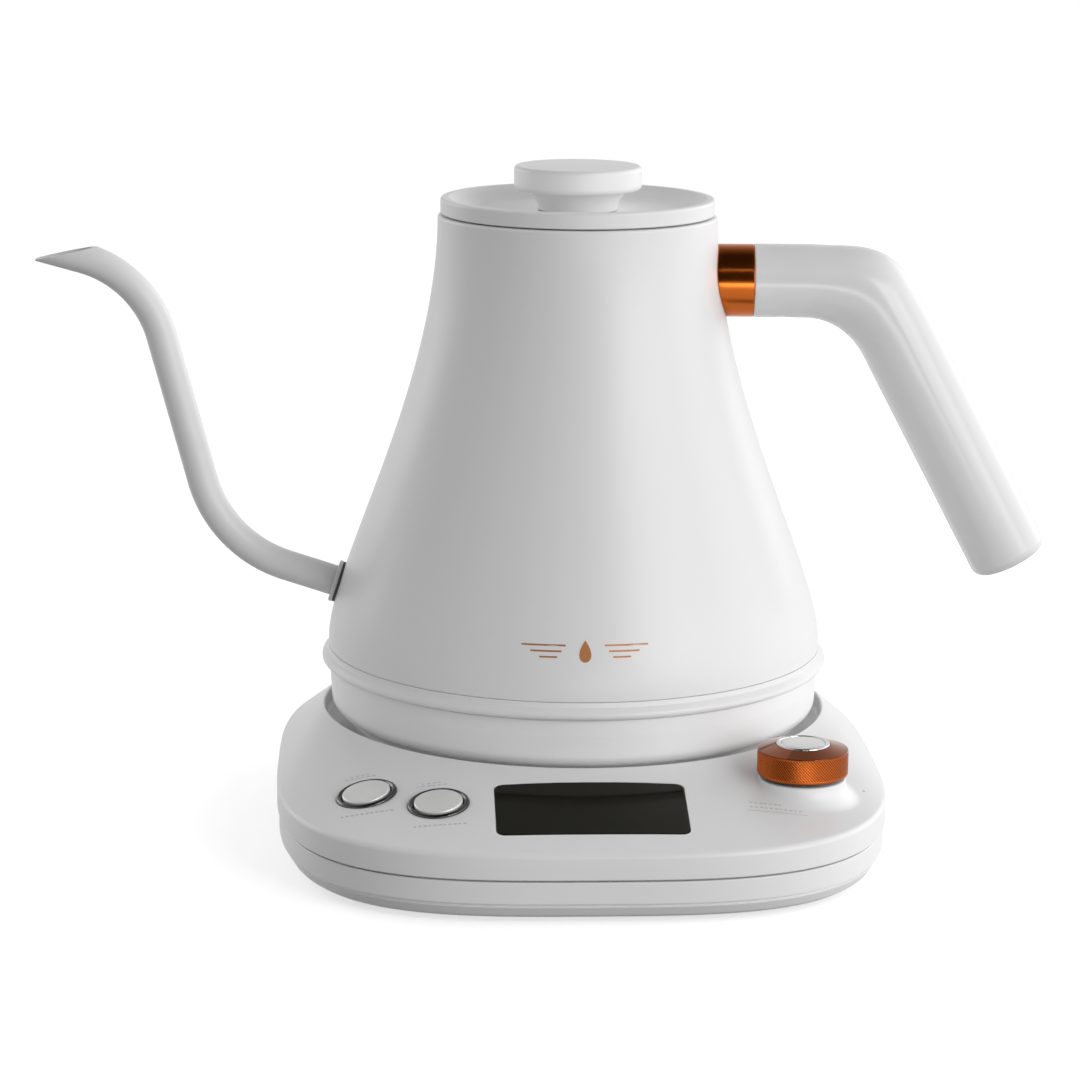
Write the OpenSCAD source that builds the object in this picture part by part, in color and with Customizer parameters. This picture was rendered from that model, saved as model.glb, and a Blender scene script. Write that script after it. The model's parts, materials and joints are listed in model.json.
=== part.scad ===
// Electric gooseneck kettle on a powered base with a dial, two buttons and a display.
// Millimetres, +Z up. The origin is on the surface the base stands on, under the
// kettle's axis. The front of the base faces -Y.

/* [Base] */
// Width of the base, side to side
base_w = 177; // [172:1:184]
// Depth of the base, front to back
base_d = 201; // [196:1:208]
// How far the middle of the base lies in front of the kettle's axis
base_shift = 21; // [18:1:24]
// Squareness of the base outline, where 2 is an ellipse
base_power = 3.2; // [2.8:0.1:3.6]
// Height of the edge where the sloping top meets the side wall
shoulder_z = 20.8; // [20:0.2:22]
// Height of the round lip that surrounds the kettle's seat
lip_z = 31.5; // [31:0.1:32]
// Radius of that lip
lip_r = 75.5; // [75.3:0.1:76]

/* [Kettle] */
// Turn of the kettle on its connector, counter-clockwise seen from above
kettle_turn = -3; // [-20:1:20]
// Height of the seam between the steel body and its trim ring
seam_z = 50; // [49.6:0.1:50.4]
// Height of the body's upper edge
mouth_z = 179; // [176:0.5:182]
// Radius of the body at the seam
body_r = 73.65; // [73:0.05:74]
// Radius of the body at its upper edge
neck_r = 41.2; // [40.8:0.1:42]
// Wall of the steel body
body_t = 1.0; // [0.8:0.1:1.2]

/* [Lid] */
// Radius of the lid's rim
lid_r = 40.4; // [40:0.1:40.8]
// Height of the lid's rim
lid_h = 4.7; // [4:0.1:5.5]
// Radius of the lid's knob
knob_r = 18.8; // [17:0.1:20]
// Height of the knob's top
knob_top_z = 193.7; // [192:0.1:195]

/* [Spout] */
// Outer diameter of the spout tube
spout_d = 9.2; // [8.8:0.1:9.6]
// Wall of the spout tube
spout_t = 0.7; // [0.5:0.1:0.9]
// Height where the spout leaves the body
spout_z = 67.3; // [66.5:0.1:68]

/* [Handle] */
// Height of the handle's level part
handle_z = 159.8; // [158:0.1:161]
// Diameter of the level part
handle_d = 21.7; // [21:0.1:22.5]
// Diameter of the sloping grip
grip_d = 23.3; // [22.5:0.1:24]
// Angle of the grip from level
grip_angle = 62; // [58:1:66]
// Length of the grip, from the bend's corner to its end
grip_len = 95; // [88:0.5:100]

/* [Controls] */
// Width of the display glass
display_w = 53; // [50:1:54]
// Depth of the display glass
display_d = 28.6; // [26:0.2:29]
// Diameter of the button caps
button_d = 13.6; // [12.6:0.1:13.8]
// Outer diameter of the button bezels
bezel_d = 17.2; // [16.8:0.1:17.6]
// Diameter of the dial
dial_d = 25.8; // [24.6:0.1:26.2]
// Height of the dial's knurled wall
dial_h = 7.4; // [6.8:0.1:7.8]

/* [Hidden] */

$fn = 96;
eps = 0.01;          // overlap that joins two solids of one node
hull_fn = 72;        // sides of the round outlines inside a hull

// Colours
WHITE = [0.90, 0.90, 0.91];
COPPER = [0.72, 0.33, 0.10];
SILVER = [0.80, 0.80, 0.78];
CHROME = [0.62, 0.63, 0.64];
BLACK = [0.05, 0.05, 0.05];
NYLON = [0.16, 0.16, 0.17];
STEEL = [0.66, 0.67, 0.68];
BRASS = [0.80, 0.62, 0.30];
BOARD = [0.08, 0.34, 0.18];
RUBBER = [0.30, 0.30, 0.31];
SILICONE = [0.86, 0.86, 0.84];

// Base levels
foot_h = 1.7;
floor_t = 2.2;
parting_z = 13.2;    // lower edge of the top shell
band_top = 12.6;     // upper edge of the bottom shell's band
shell_t = 2.2;
seat_z = 30.0;       // platform under the kettle
channel_z = 26.5;    // floor of the drip channel round the platform
channel_in = 66;
channel_out = 75;
pillar_r = 17;
pillar_top = 40;
screw_ring_r = 72.5; // radius of the four base screws round the kettle's axis
screw_turn = 24.4;

// Panel that slopes from the lip down to the front shoulder
panel_tilt = atan((lip_z - shoulder_z) / (base_d / 2 + base_shift - 1.2 - lip_r));
display_y = -96.8;
display_z = 26.0;
glass_t = 1.6;
board_z = 15.9;
board_t = 1.6;

// Buttons: [x, y, z, lean from vertical, direction of the lean]
BUTTON_L = [-62.1, -80.1, 25.7, 14, 220];
BUTTON_R = [-42.1, -91.4, 26.2, 12, 245];
cap_proud = 1.0;     // height of the cap's edge over the panel
button_travel = 0.6;
stem_r = 1.6;
switch_h = 1.4;

// Dial
dial_x = 60.8;
dial_y = -76.4;
dial_z = 30;         // lower edge of the knurled wall
boss_top = 29.1;
shaft_r = 2.95;

// Kettle levels
kettle_bottom = 30.2;
cover_r = 73.2;
cover_top = 44.9;
plate_z = seam_z + 1.1;
plate_t = 1.5;

// ---------------------------------------------------------------- helpers

// Point of the base outline at angle a, drawn in by d
function edge(v, p) = sign(v) * pow(abs(v), 2 / p);
function base_outline(d, n = 96) = [
  for (i = [0 : n - 1])
    let (a = 360 * i / n)
      [(base_w / 2 - d) * edge(cos(a), base_power),
       (base_d / 2 - d) * edge(sin(a), base_power) - base_shift]
];

// Cubic curve through a and d with handles b and c
function curve(a, b, c, d, n) = [
  for (i = [0 : n])
    let (t = i / n, s = 1 - t)
      s * s * s * a + 3 * s * s * t * b + 3 * s * t * t * c + t * t * t * d
];

// Points of an arc about c
function arc(c, r, a0, a1, n) = [
  for (i = [0 : n])
    let (a = a0 + (a1 - a0) * i / n)
      [c[0] + r * cos(a), c[1] + r * sin(a)]
];

// Flat slab of the base outline from z0 to z1
module base_slab(d, z0, z1) {
  translate([0, 0, z0])
    linear_extrude(z1 - z0)
      polygon(base_outline(d));
}

// Ring or, with no inner radius, a disc from z0 to z1
module ring(r_out, r_in, z0, z1) {
  difference() {
    translate([0, 0, z0])
      cylinder(r = r_out, h = z1 - z0);
    if (r_in > 0)
      translate([0, 0, z0 - 1])
        cylinder(r = r_in, h = z1 - z0 + 2);
  }
}

module disc(r, z0, z1) {
  translate([0, 0, z0])
    cylinder(r = r, h = z1 - z0);
}

// Solid through sections that lie in the XZ plane, each [centre, heading, half depth,
// half width]. A heading is the angle below level of the way on, which is towards +X.
module sweep(sections, sides) {
  n = len(sections);
  points = [
    for (s = sections, k = [0 : sides - 1])
      let (a = 360 * k / sides)
        [s[0][0] + s[2] * cos(a) * sin(s[1]), s[3] * sin(a), s[0][1] + s[2] * cos(a) * cos(s[1])]
  ];
  faces = concat(
    [[for (k = [sides - 1 : -1 : 0]) k]],
    [for (i = [0 : n - 2], k = [0 : sides - 1])
      [i * sides + k, i * sides + (k + 1) % sides, (i + 1) * sides + (k + 1) % sides,
       (i + 1) * sides + k]],
    [[for (k = [0 : sides - 1]) (n - 1) * sides + k]]
  );
  polyhedron(points, faces);
}

// Rounded plate, centred, from z0 to z1
module rounded_plate(w, d, r, z0, z1) {
  translate([0, 0, z0])
    linear_extrude(z1 - z0)
      union() {
        square([w - 2 * r, d], center = true);
        square([w, d - 2 * r], center = true);
        for (x = [-1, 1], y = [-1, 1])
          translate([x * (w / 2 - r), y * (d / 2 - r)])
            circle(r, $fn = 32);
      }
}

module box(x0, x1, y0, y1, z0, z1) {
  translate([x0, y0, z0])
    cube([x1 - x0, y1 - y0, z1 - z0]);
}

// Places children on a button's spot, with +Z out of the panel
module at_button(b) {
  translate([b[0], b[1], b[2]])
    rotate([0, b[3], b[4]])
      children();
}

module at_display() {
  translate([0, display_y, display_z])
    rotate([panel_tilt, 0, 0])
      children();
}

module at_dial() {
  translate([dial_x, dial_y, 0])
    children();
}

// Four places of the base screws
module at_base_screws() {
  for (a = [screw_turn, 180 - screw_turn, 270 - screw_turn, 270 + screw_turn])
    rotate([0, 0, a])
      translate([screw_ring_r, 0, 0])
        children();
}

// Everything that stands on the connector turns with it
module on_kettle() {
  rotate([0, 0, kettle_turn])
    children();
}

// ---------------------------------------------------------------- base

module base_outer() {
  hull() {
    base_slab(0, parting_z, 19.4);
    base_slab(0.5, 20.1, 20.3);
    base_slab(1.2, shoulder_z - 0.1, shoulder_z);
    translate([0, 0, lip_z - 0.2])
      cylinder(r = lip_r, h = 0.2, $fn = hull_fn);
  }
}

module base_cavity() {
  difference() {
    hull() {
      base_slab(shell_t, parting_z - 1, 17);
      base_slab(shell_t + 1.2, 18, 18.1);
      translate([0, 0, 28.8])
        cylinder(r = 74, h = 0.1, $fn = hull_fn);
    }
    disc(64, seat_z - shell_t, 40);
    ring(77.3, 63.9, channel_z - shell_t, 40);
  }
}

// Flared foot of the dial, drawn as a quarter hollow
module dial_boss() {
  at_dial()
    rotate_extrude()
      polygon(concat(
        [[0, 18], [0, boss_top]],
        arc([12.4 - 0.6, boss_top - 0.6], 0.6, 90, 0, 4),
        arc([19.4, 28.4], 7, 180, 250, 10),
        [[17, 18]]
      ));
}

module base_top_shell() {
  color(WHITE)
    union() {
      difference() {
        union() {
          base_outer();
          dial_boss();
        }
        base_cavity();
        // seat, drip channel and the opening for the connector
        disc(channel_out, seat_z, 40);
        ring(channel_out, channel_in, channel_z, 40);
        disc(19.5, 20, 40);
        // display pocket and its window
        at_display()
          rounded_plate(display_w + 0.4, display_d + 0.4, 2.6, -glass_t - 0.1, 6);
        at_display()
          rounded_plate(46, 22, 1.5, -8, 1);
        for (b = [BUTTON_L, BUTTON_R])
          at_button(b)
            disc(bezel_d / 2 - 0.9, -9, 5);
        for (b = [BUTTON_L, BUTTON_R])
          at_button(b)
            disc(bezel_d / 2 + 0.05, -1.0, 5);
        at_dial()
          disc(9.4, 15, boss_top - shell_t);
        at_dial()
          disc(4.7, 15, 40);
        // pin hole of the buzzer
        translate([79, -70.4, 15])
          cylinder(r = 0.6, h = 20, $fn = 24);
        // opening for the cord inlet
        box(-9, 9, 70, 90, 10, 17.3);
      }
      at_base_screws()
        difference() {
          disc(3.6, 6.4, channel_z - shell_t + eps);
          disc(1.3, 5, 19);
        }
    }
}

module base_bottom_shell() {
  color(WHITE)
    difference() {
      union() {
        difference() {
          union() {
            hull() {
              base_slab(4.4, foot_h, foot_h + 0.1);
              base_slab(3.0, foot_h + 0.8, foot_h + 0.9);
              base_slab(1.2, 5.5, 5.6);
            }
            base_slab(1.7, 5.5, 6.2);
            base_slab(0.6, 6.2, band_top);
            base_slab(2.6, band_top - eps, 14.8);
          }
          base_slab(4.6, foot_h + floor_t, 16);
        }
        at_base_screws()
          disc(5.2, foot_h + floor_t - eps, 6.3);
        // posts under the boards
        for (x = [-38, 38], y = [-14, 42])
          translate([x, y, 0])
            disc(3, foot_h + floor_t - eps, 6);
        for (x = [-56, 0, 56])
          translate([x, -98, 0])
            disc(3, foot_h + floor_t - eps, board_z);
        // saddle that carries the cord inlet
        box(-9, 9, 66, 74, foot_h + floor_t - eps, 8.9);
      }
      at_base_screws()
        disc(3.4, 0, 4.4);
      at_base_screws()
        disc(1.8, 0, 8);
      at_pads()
        disc(7.2, 0, foot_h + 0.7);
      disc(14.2, 0, foot_h + 0.7);
      box(-9, 9, 70, 90, 9, 17);
    }
}

// Four corner pads; the fifth lies under the connector
module at_pads() {
  for (x = [-57, 57], y = [-93, 50])
    translate([x, y, 0])
      children();
}

module foot_pads() {
  color(RUBBER) {
    at_pads()
      disc(7, 0, foot_h + 0.7);
    disc(14, 0, foot_h + 0.7);
  }
}

module base_screws() {
  color(STEEL)
    at_base_screws()
      difference() {
        union() {
          disc(3.0, 2.4, 4.4);
          disc(1.25, 4.4 - eps, 16);
        }
        translate([0, 0, 2.4])
          cube([4, 0.8, 1.6], center = true);
        translate([0, 0, 2.4])
          cube([0.8, 4, 1.6], center = true);
      }
}

module base_connector() {
  color(NYLON)
    difference() {
      union() {
        disc(28, 25.2, seat_z - shell_t);
        disc(22, 14, 25.2 + eps);
        disc(pillar_r, 25.2, pillar_top);
      }
      disc(3.2, 30, 50);
      ring(8.6, 7.0, 31, 50);
      ring(13.4, 11.8, 31, 50);
      ring(16.5, 13.9, 38.8, 50);
      ring(19.5, 4, 13, 24);
    }
}

module connector_contacts() {
  color(BRASS) {
    disc(3.1, 30, 31.2);
    ring(8.5, 7.1, 31, 32.2);
    ring(13.3, 11.9, 31, 32.2);
  }
}

module glide_ring() {
  color(SILICONE)
    ring(16.2, 14.2, 38.9, 40.6);
}

module power_board() {
  color(BOARD)
    difference() {
      box(-44, 44, -20, 48, 6, 7.6);
      for (x = [-38, 38], y = [-14, 42])
        translate([x, y, 0])
          disc(1.2, 5, 9);
    }
}

// Relay, transformer, capacitor and terminal block
module power_components() {
  color(NYLON) {
    box(-38, -19, 26, 41, 7.6, 22);
    box(12, 30, 24, 40, 7.6, 21);
    translate([-32, 6, 0])
      disc(5, 7.6, 21);
    box(-10, 10, 30, 40, 7.6, 15);
  }
}

module control_board() {
  color(BOARD)
    difference() {
      translate([0, 0, board_z])
        linear_extrude(board_t)
          polygon([[-58, -108], [58, -108], [70, -98], [76, -80], [76, -62], [66, -62],
            [66, -69], [50, -69], [50, -74], [-70, -74], [-70, -98]]);
      for (x = [-56, 0, 56])
        translate([x, -98, 0])
          disc(1.2, 14, 19);
    }
}

module ribbon_cable() {
  color(SILICONE) {
    box(-6, 6, -74.6, -74, 7.6, board_z);
    box(-6, 6, -74.6, -16, 7.6, 8.2);
    box(-6, 6, -80, -74, board_z - 0.6, board_z);
  }
}

// Grommet in the rear wall where the mains cord enters
module cord_inlet() {
  color(RUBBER)
    difference() {
      union() {
        box(-8.8, 8.8, 76.6, 80.4, 9.1, 17.1);
        box(-7, 7, 73, 76.6 + eps, 9.1, 16.5);
      }
      translate([0, 70, 12.9])
        rotate([-90, 0, 0])
          cylinder(r = 3.5, h = 14);
    }
}

module inner_leads() {
  color([0.45, 0.30, 0.20])
    for (k = [-1 : 1])
      translate([k * 2.2, 40, 12.9])
        rotate([-90, 0, 0])
          cylinder(r = 0.9, h = 32.8, $fn = 24);
}

// The glass is flush with the panel, so its top follows the panel's slight curve
module display_glass() {
  color(BLACK)
    intersection() {
      base_outer();
      at_display()
        rounded_plate(display_w, display_d, 2.5, -glass_t, 6);
    }
}

module display_module() {
  color(NYLON)
    at_display()
      rounded_plate(45.6, 21.6, 1.4, -4.6, -glass_t - 0.05);
}

// Cap with a stem that ends one press above its switch
module button_cap(b) {
  stem = (b[2] - board_z - board_t - switch_h - button_travel - 0.1) / cos(b[3])
    - stem_r * tan(b[3]);
  color(SILVER)
    at_button(b)
      rotate_extrude()
        polygon(concat(
          [[0, -stem], [stem_r, -stem], [stem_r, -2.0], [button_d / 2, -2.0]],
          arc([button_d / 2 - 0.8, cap_proud - 0.8], 0.8, 0, 80, 5),
          [[0, cap_proud + 0.25]]
        ));
}

module button_cap_left() {
  button_cap(BUTTON_L);
}

module button_cap_right() {
  button_cap(BUTTON_R);
}

module bezel(b) {
  color(CHROME)
    at_button(b)
      rotate_extrude()
        polygon(concat(
          [[button_d / 2 + 0.3, -3.6], [bezel_d / 2 - 0.95, -3.6], [bezel_d / 2 - 0.95, -0.95],
           [bezel_d / 2, -0.95]],
          arc([bezel_d / 2 - 0.7, 0], 0.7, 0, 90, 5),
          [[button_d / 2 + 0.3, 0.2]]
        ));
}

module bezel_left() {
  bezel(BUTTON_L);
}

module bezel_right() {
  bezel(BUTTON_R);
}

module tact_switches() {
  color(BLACK)
    for (b = [BUTTON_L, BUTTON_R])
      translate([b[0] - 1.5 * cos(b[4]), b[1] - 1.5 * sin(b[4]), board_z + board_t])
        box(-3, 3, -3, 3, 0, switch_h);
}

module buzzer() {
  color(BLACK)
    translate([71, -66, 0])
      difference() {
        disc(3.2, board_z + board_t, 19.6);
        disc(0.8, 18.6, 20);
      }
}

// Housing of the rotary encoder with its threaded bush
module dial_encoder() {
  color(STEEL)
    at_dial()
      difference() {
        union() {
          box(-6, 6, -6, 6, board_z + board_t, 24);
          disc(4.5, 24 - eps, boss_top);
        }
        disc(5.4, 18.6, 23);
        disc(shaft_r + 0.08, 18.6, 40);
      }
}

module encoder_rotor() {
  color(BRASS)
    at_dial()
      ring(5.1, shaft_r + 0.08, 20.6, 22.4);
}

module encoder_shaft() {
  color(STEEL)
    at_dial()
      disc(shaft_r, 19.6, dial_z + 6);
}

dial_r = dial_d / 2;
dial_edge_z = dial_z + dial_h;
dial_top = dial_edge_z + 1.4;
dial_ring_r = 7.6;

module dial_knob() {
  color(COPPER)
    at_dial()
      rotate_extrude()
        polygon([
          [shaft_r, dial_z + 2.4], [4.8, dial_z + 2.4], [4.8, dial_z + 0.3], [11, dial_z + 0.3],
          [11, dial_z], [dial_r - 0.5, dial_z], [dial_r, dial_z + 0.5], [dial_r, dial_edge_z],
          [dial_ring_r + 0.02, dial_top], [dial_ring_r + 0.02, dial_top - 1.6],
          [shaft_r, dial_top - 1.6]
        ]);
}

module dial_ring() {
  color(CHROME)
    at_dial()
      rotate_extrude()
        polygon(concat(
          [[6.75, dial_top - 1.6], [dial_ring_r, dial_top - 1.6]],
          [[dial_ring_r, dial_top]],
          arc([7.2, dial_top], 0.4, 0, 180, 6),
          [[6.75, dial_top]]
        ));
}

module dial_cap() {
  color(SILVER)
    at_dial()
      rotate_extrude()
        polygon(concat(
          [[0, dial_top - 1.6], [6.7, dial_top - 1.6]],
          arc([6.3, dial_top - 0.1], 0.4, 0, 75, 4),
          [[0, dial_top + 0.6]]
        ));
}

// ---------------------------------------------------------------- kettle

// Outline of the steel body, drawn in by d
function body_side(d, n = 28) = curve(
  [body_r - d, seam_z],
  [body_r - d + 2.05, seam_z + 19.5],
  [neck_r - d - 0.2, mouth_z - 53],
  [neck_r - d, mouth_z],
  n
);

// Solid bounded by the body's outer surface
module body_solid(d = 0) {
  rotate_extrude()
    polygon(concat([[0, seam_z]], body_side(d), [[0, mouth_z]]));
}

mouth_r = 37.5;
lip_low_z = mouth_z - 10;

module body_shell() {
  color(WHITE)
    on_kettle()
      difference() {
        rotate_extrude()
          polygon(concat(
            [[70, seam_z + 1], [70, seam_z + 0.1], [body_r - 0.1, seam_z + 0.1]],
            [for (p = body_side(0)) if (p[1] > seam_z + 0.2 && p[1] < mouth_z - 1.2) p],
            arc([neck_r - 0.8, mouth_z - 0.9], 0.8, 0, 90, 4),
            [[mouth_r, mouth_z - 0.1], [mouth_r, lip_low_z], [mouth_r + 0.9, lip_low_z],
             [mouth_r + 0.9, mouth_z - 1.1]],
            [for (i = [28 : -1 : 0]) let (p = body_side(body_t)[i])
              if (p[1] > seam_z + 1.2 && p[1] < mouth_z - 1.4) p],
            [[body_r - body_t + 0.1, seam_z + 1]]
          ));
        spout_bore(spout_d / 2 + 0.02);
      }
}

module trim_ring() {
  color(WHITE)
    rotate_extrude()
      polygon(concat(
        [[71.6, 45.2], [73.9, 45.2]],
        arc([74.3, 46.6], 1.4, -75, 40, 8),
        [[73.9, seam_z - 0.2], [71.6, seam_z - 0.2]]
      ));
}

module bottom_cover() {
  color(WHITE)
    on_kettle()
      difference() {
        union() {
          rotate_extrude()
            polygon(concat(
              [[19.9, kettle_bottom], [68.6, kettle_bottom]],
              arc([68.6, kettle_bottom + 4.2], 4.2, -80, -4, 8),
              [[cover_r, 40], [cover_r, cover_top - 0.4], [cover_r - 0.4, cover_top],
               [71.4, cover_top], [71.4, seam_z - 0.3], [69.4, seam_z - 0.3], [69.4, 42],
               [71, 36]],
              arc([68.6, kettle_bottom + 4.2], 2.2, -4, -80, 5),
              [[68.6, kettle_bottom + 2], [19.9, kettle_bottom + 2]]
            ));
          at_bottom_screws()
            disc(5, kettle_bottom + 2 - eps, 43.5);
        }
        at_bottom_screws()
          disc(3.3, 20, 33.4);
        at_bottom_screws()
          disc(1.7, 20, 50);
        at_coupler_screws()
          disc(1.15, kettle_bottom + 0.6, 34);
      }
}

module at_bottom_screws() {
  for (a = [30, 150, 270])
    rotate([0, 0, a])
      translate([54, 0, 0])
        children();
}

module at_coupler_screws() {
  for (a = [90, 210, 330])
    rotate([0, 0, a])
      translate([23.4, 0, 0])
        children();
}

probe_x = 34;

module heating_plate() {
  color(STEEL)
    on_kettle()
      difference() {
        union() {
          disc(72.2, plate_z, plate_z + plate_t);
          // spreader under the plate, and the screw posts
          disc(50, plate_z - 3, plate_z + eps);
          at_bottom_screws()
            disc(3.4, 43.6, plate_z + eps);
        }
        translate([probe_x, 0, 0])
          disc(2.6, 40, 60);
        at_bottom_screws()
          disc(1.55, 43, 49.5);
      }
}

// Tubular element pressed against the spreader, with its two cold ends
module heating_element() {
  color(CHROME)
    on_kettle() {
      translate([0, 0, plate_z - 3 - 3.2])
        rotate([0, 0, 20])
          rotate_extrude(angle = 320)
            translate([42, 0])
              circle(3.2, $fn = 32);
      for (a = [20, 340])
        rotate([0, 0, a])
          translate([42, 0, 38])
            cylinder(r = 1.6, h = plate_z - 3 - 3.2 - 38, $fn = 32);
    }
}

module thermal_cutout() {
  color(BLACK)
    on_kettle()
      translate([0, 33, 0])
        disc(4.6, plate_z - 3 - 5, plate_z - 3);
}

module temperature_probe() {
  color(STEEL)
    on_kettle()
      translate([probe_x, 0, 0]) {
        disc(2.5, 44, 60);
        translate([0, 0, 60])
          sphere(r = 2.5, $fn = 48);
      }
}

module probe_gasket() {
  color(SILICONE)
    on_kettle()
      translate([probe_x, 0, 0])
        ring(4.4, 2.52, plate_z + plate_t, plate_z + plate_t + 1.4);
}

module kettle_coupler() {
  color(NYLON)
    on_kettle()
      difference() {
        union() {
          disc(19.6, kettle_bottom + 0.3, 44.4);
          disc(27, kettle_bottom + 2, kettle_bottom + 4);
        }
        disc(pillar_r + 0.5, 20, 40.9);
        at_coupler_screws()
          disc(1.3, 30, 40);
      }
}

// Centre pin and two ring blades that enter the connector
module coupler_contacts() {
  color(BRASS)
    on_kettle() {
      disc(2.2, 32.8, 40.9);
      ring(8.1, 7.5, 32.8, 40.9);
      ring(12.9, 12.3, 32.8, 40.9);
    }
}

// Leads from the coupler's terminals to the two cold ends of the element
module element_leads() {
  color(SILICONE)
    on_kettle()
      for (a = [-20, 20])
        rotate([0, 0, a])
          translate([19.6, 0, 40])
            rotate([0, 90, 0])
              cylinder(r = 0.9, h = 20.7, $fn = 24);
}

module coupler_screws() {
  color(STEEL)
    on_kettle()
      at_coupler_screws()
        difference() {
          union() {
            disc(2.2, kettle_bottom + 4, kettle_bottom + 5.6);
            disc(1.1, kettle_bottom + 0.6, kettle_bottom + 4 + eps);
          }
          translate([0, 0, kettle_bottom + 5.6])
            cube([3.4, 0.6, 1.2], center = true);
        }
}

module bottom_screws() {
  color(STEEL)
    on_kettle()
      at_bottom_screws()
        difference() {
          union() {
            disc(3.0, 31.4, 33.4);
            disc(1.5, 33.4 - eps, 48.5);
          }
          translate([0, 0, 31.4])
            cube([4, 0.8, 1.6], center = true);
          translate([0, 0, 31.4])
            cube([0.8, 4, 1.6], center = true);
        }
}

// ---------------------------------------------------------------- spout

// The spout lies in the XZ plane and points to -X. Its centre line is a straight
// root, a bend upwards, a long straight, a bend outwards and a straight tip.
root_tilt = 17.5;
rise_tilt = 75;
tip_tilt = 15;
root_x = -64;
root_len = 23.7;
lower_bend_r = 37.3;
rise_len = 45;
upper_bend_r = 32.5;
tip_len = 18;

// A step along the centre line: a straight of length l at tilt a
function straight(p, a, l) = p + l * [-cos(a), sin(a)];
// ... or a bend of radius r from tilt a to tilt b
function bend(p, a, b, r) =
  p + sign(b - a) * r * [-(sin(b) - sin(a)), cos(a) - cos(b)];

p0 = [root_x, spout_z - (70.4 + root_x) * tan(root_tilt)];
p1 = straight(p0, root_tilt, root_len);
p2 = bend(p1, root_tilt, rise_tilt, lower_bend_r);
p3 = straight(p2, rise_tilt, rise_len);
p4 = bend(p3, rise_tilt, tip_tilt, upper_bend_r);

// Rod or bore of radius r along a straight stretch of length l
module tube_straight(p, a, l, r) {
  translate([p[0], 0, p[1]])
    rotate([0, a - 90, 0])
      cylinder(r = r, h = l);
}

module spout_bore(r) {
  tube_straight(p0, root_tilt, 14, r);
}

// Sections of a tube of radius r from the tip to the root, longer by extra at both ends
bend_steps = 10;
function spout_sections(r, extra) = concat(
  [[straight(p4, tip_tilt, tip_len + extra), tip_tilt, r, r]],
  [for (i = [bend_steps : -1 : 0])
    let (h = rise_tilt + (tip_tilt - rise_tilt) * i / bend_steps)
      [bend(p3, rise_tilt, h, upper_bend_r), h, r, r]],
  [for (i = [bend_steps : -1 : 0])
    let (h = root_tilt + (rise_tilt - root_tilt) * i / bend_steps)
      [bend(p1, root_tilt, h, lower_bend_r), h, r, r]],
  [[straight(p0, root_tilt, -extra), root_tilt, r, r]]
);

// The tip is cut on the slant, low at its point
cut_point = [-160, 164.4];
cut_tilt = 12;

module spout_tube() {
  color(WHITE)
    on_kettle()
      difference() {
        sweep(spout_sections(spout_d / 2, 0), 28);
        sweep(spout_sections(spout_d / 2 - spout_t, 1), 28);
        // flush with the inside of the body
        body_solid(body_t);
        // slanted cut of the tip
        translate([cut_point[0], -20, cut_point[1]])
          rotate([0, -cut_tilt, 0])
            cube([40, 40, 20]);
        translate([cut_point[0] - 10, -20, cut_point[1] - 20])
          cube([10, 40, 40]);
      }
}

// A dark seal lies between the body and the washer that covers the spout's joint.
// Both are measured along the root, from its start inside the body.
seal_r = 6.2;
seal_end = 7.5;
flange_r = 6.4;
flange_t = 1.2;

module spout_collar(from, to, r) {
  difference() {
    tube_straight(straight(p0, root_tilt, from), root_tilt, to - from, r);
    tube_straight(p0, root_tilt, root_len, spout_d / 2 + 0.02);
    // clear of the body by a hair
    body_solid(-0.05);
  }
}

module spout_seal() {
  color(RUBBER)
    on_kettle()
      spout_collar(seal_end - 3, seal_end, seal_r);
}

module spout_flange() {
  color(WHITE)
    on_kettle()
      spout_collar(seal_end + 0.02, seal_end + flange_t, flange_r);
}

// ---------------------------------------------------------------- handle

collar_end = 52;
bend_corner = [86.4, handle_z];

module handle_collar() {
  color(COPPER)
    on_kettle()
      difference() {
        translate([36, 0, handle_z])
          rotate([0, 90, 0])
            cylinder(r = handle_d / 2 - 0.1, h = collar_end - 36);
        translate([30, 0, handle_z])
          rotate([0, 90, 0])
            cylinder(r = 7, h = 30);
        body_solid(0);
      }
}

module handle_tang() {
  color(STEEL)
    on_kettle()
      difference() {
        translate([36, 0, handle_z])
          rotate([0, 90, 0])
            cylinder(r = 6.9, h = 36);
        body_solid(0);
        translate([61, 0, 140])
          cylinder(r = 2.0, h = 20);
      }
}

// Sweep of sections along the grip: level, bend and slope. The grip is fuller on
// the outside of the bend, so a section there is deeper than it is wide.
bend_in = 19;        // straight length that the bend takes up on each side
function grip_heading(u) = u < 0 ? 0 : u > 1 ? grip_angle : grip_angle * u;
bend_big = bend_in / tan(grip_angle / 2);
bend_start = bend_corner - [bend_in, 0];
function bend_point(a) = bend_start + bend_big * [sin(a), cos(a) - 1];
bend_stop = bend_point(grip_angle);
slope_len = grip_len - bend_in;
end_round = 3.2;

function swell(u) = 1.6 * pow(sin(180 * u), 3);
function grip_r(u) = handle_d / 2 + (grip_d - handle_d) / 2 * (u * u * (3 - 2 * u));
function slope_point(l) = bend_stop + l * [cos(grip_angle), -sin(grip_angle)];
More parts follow.
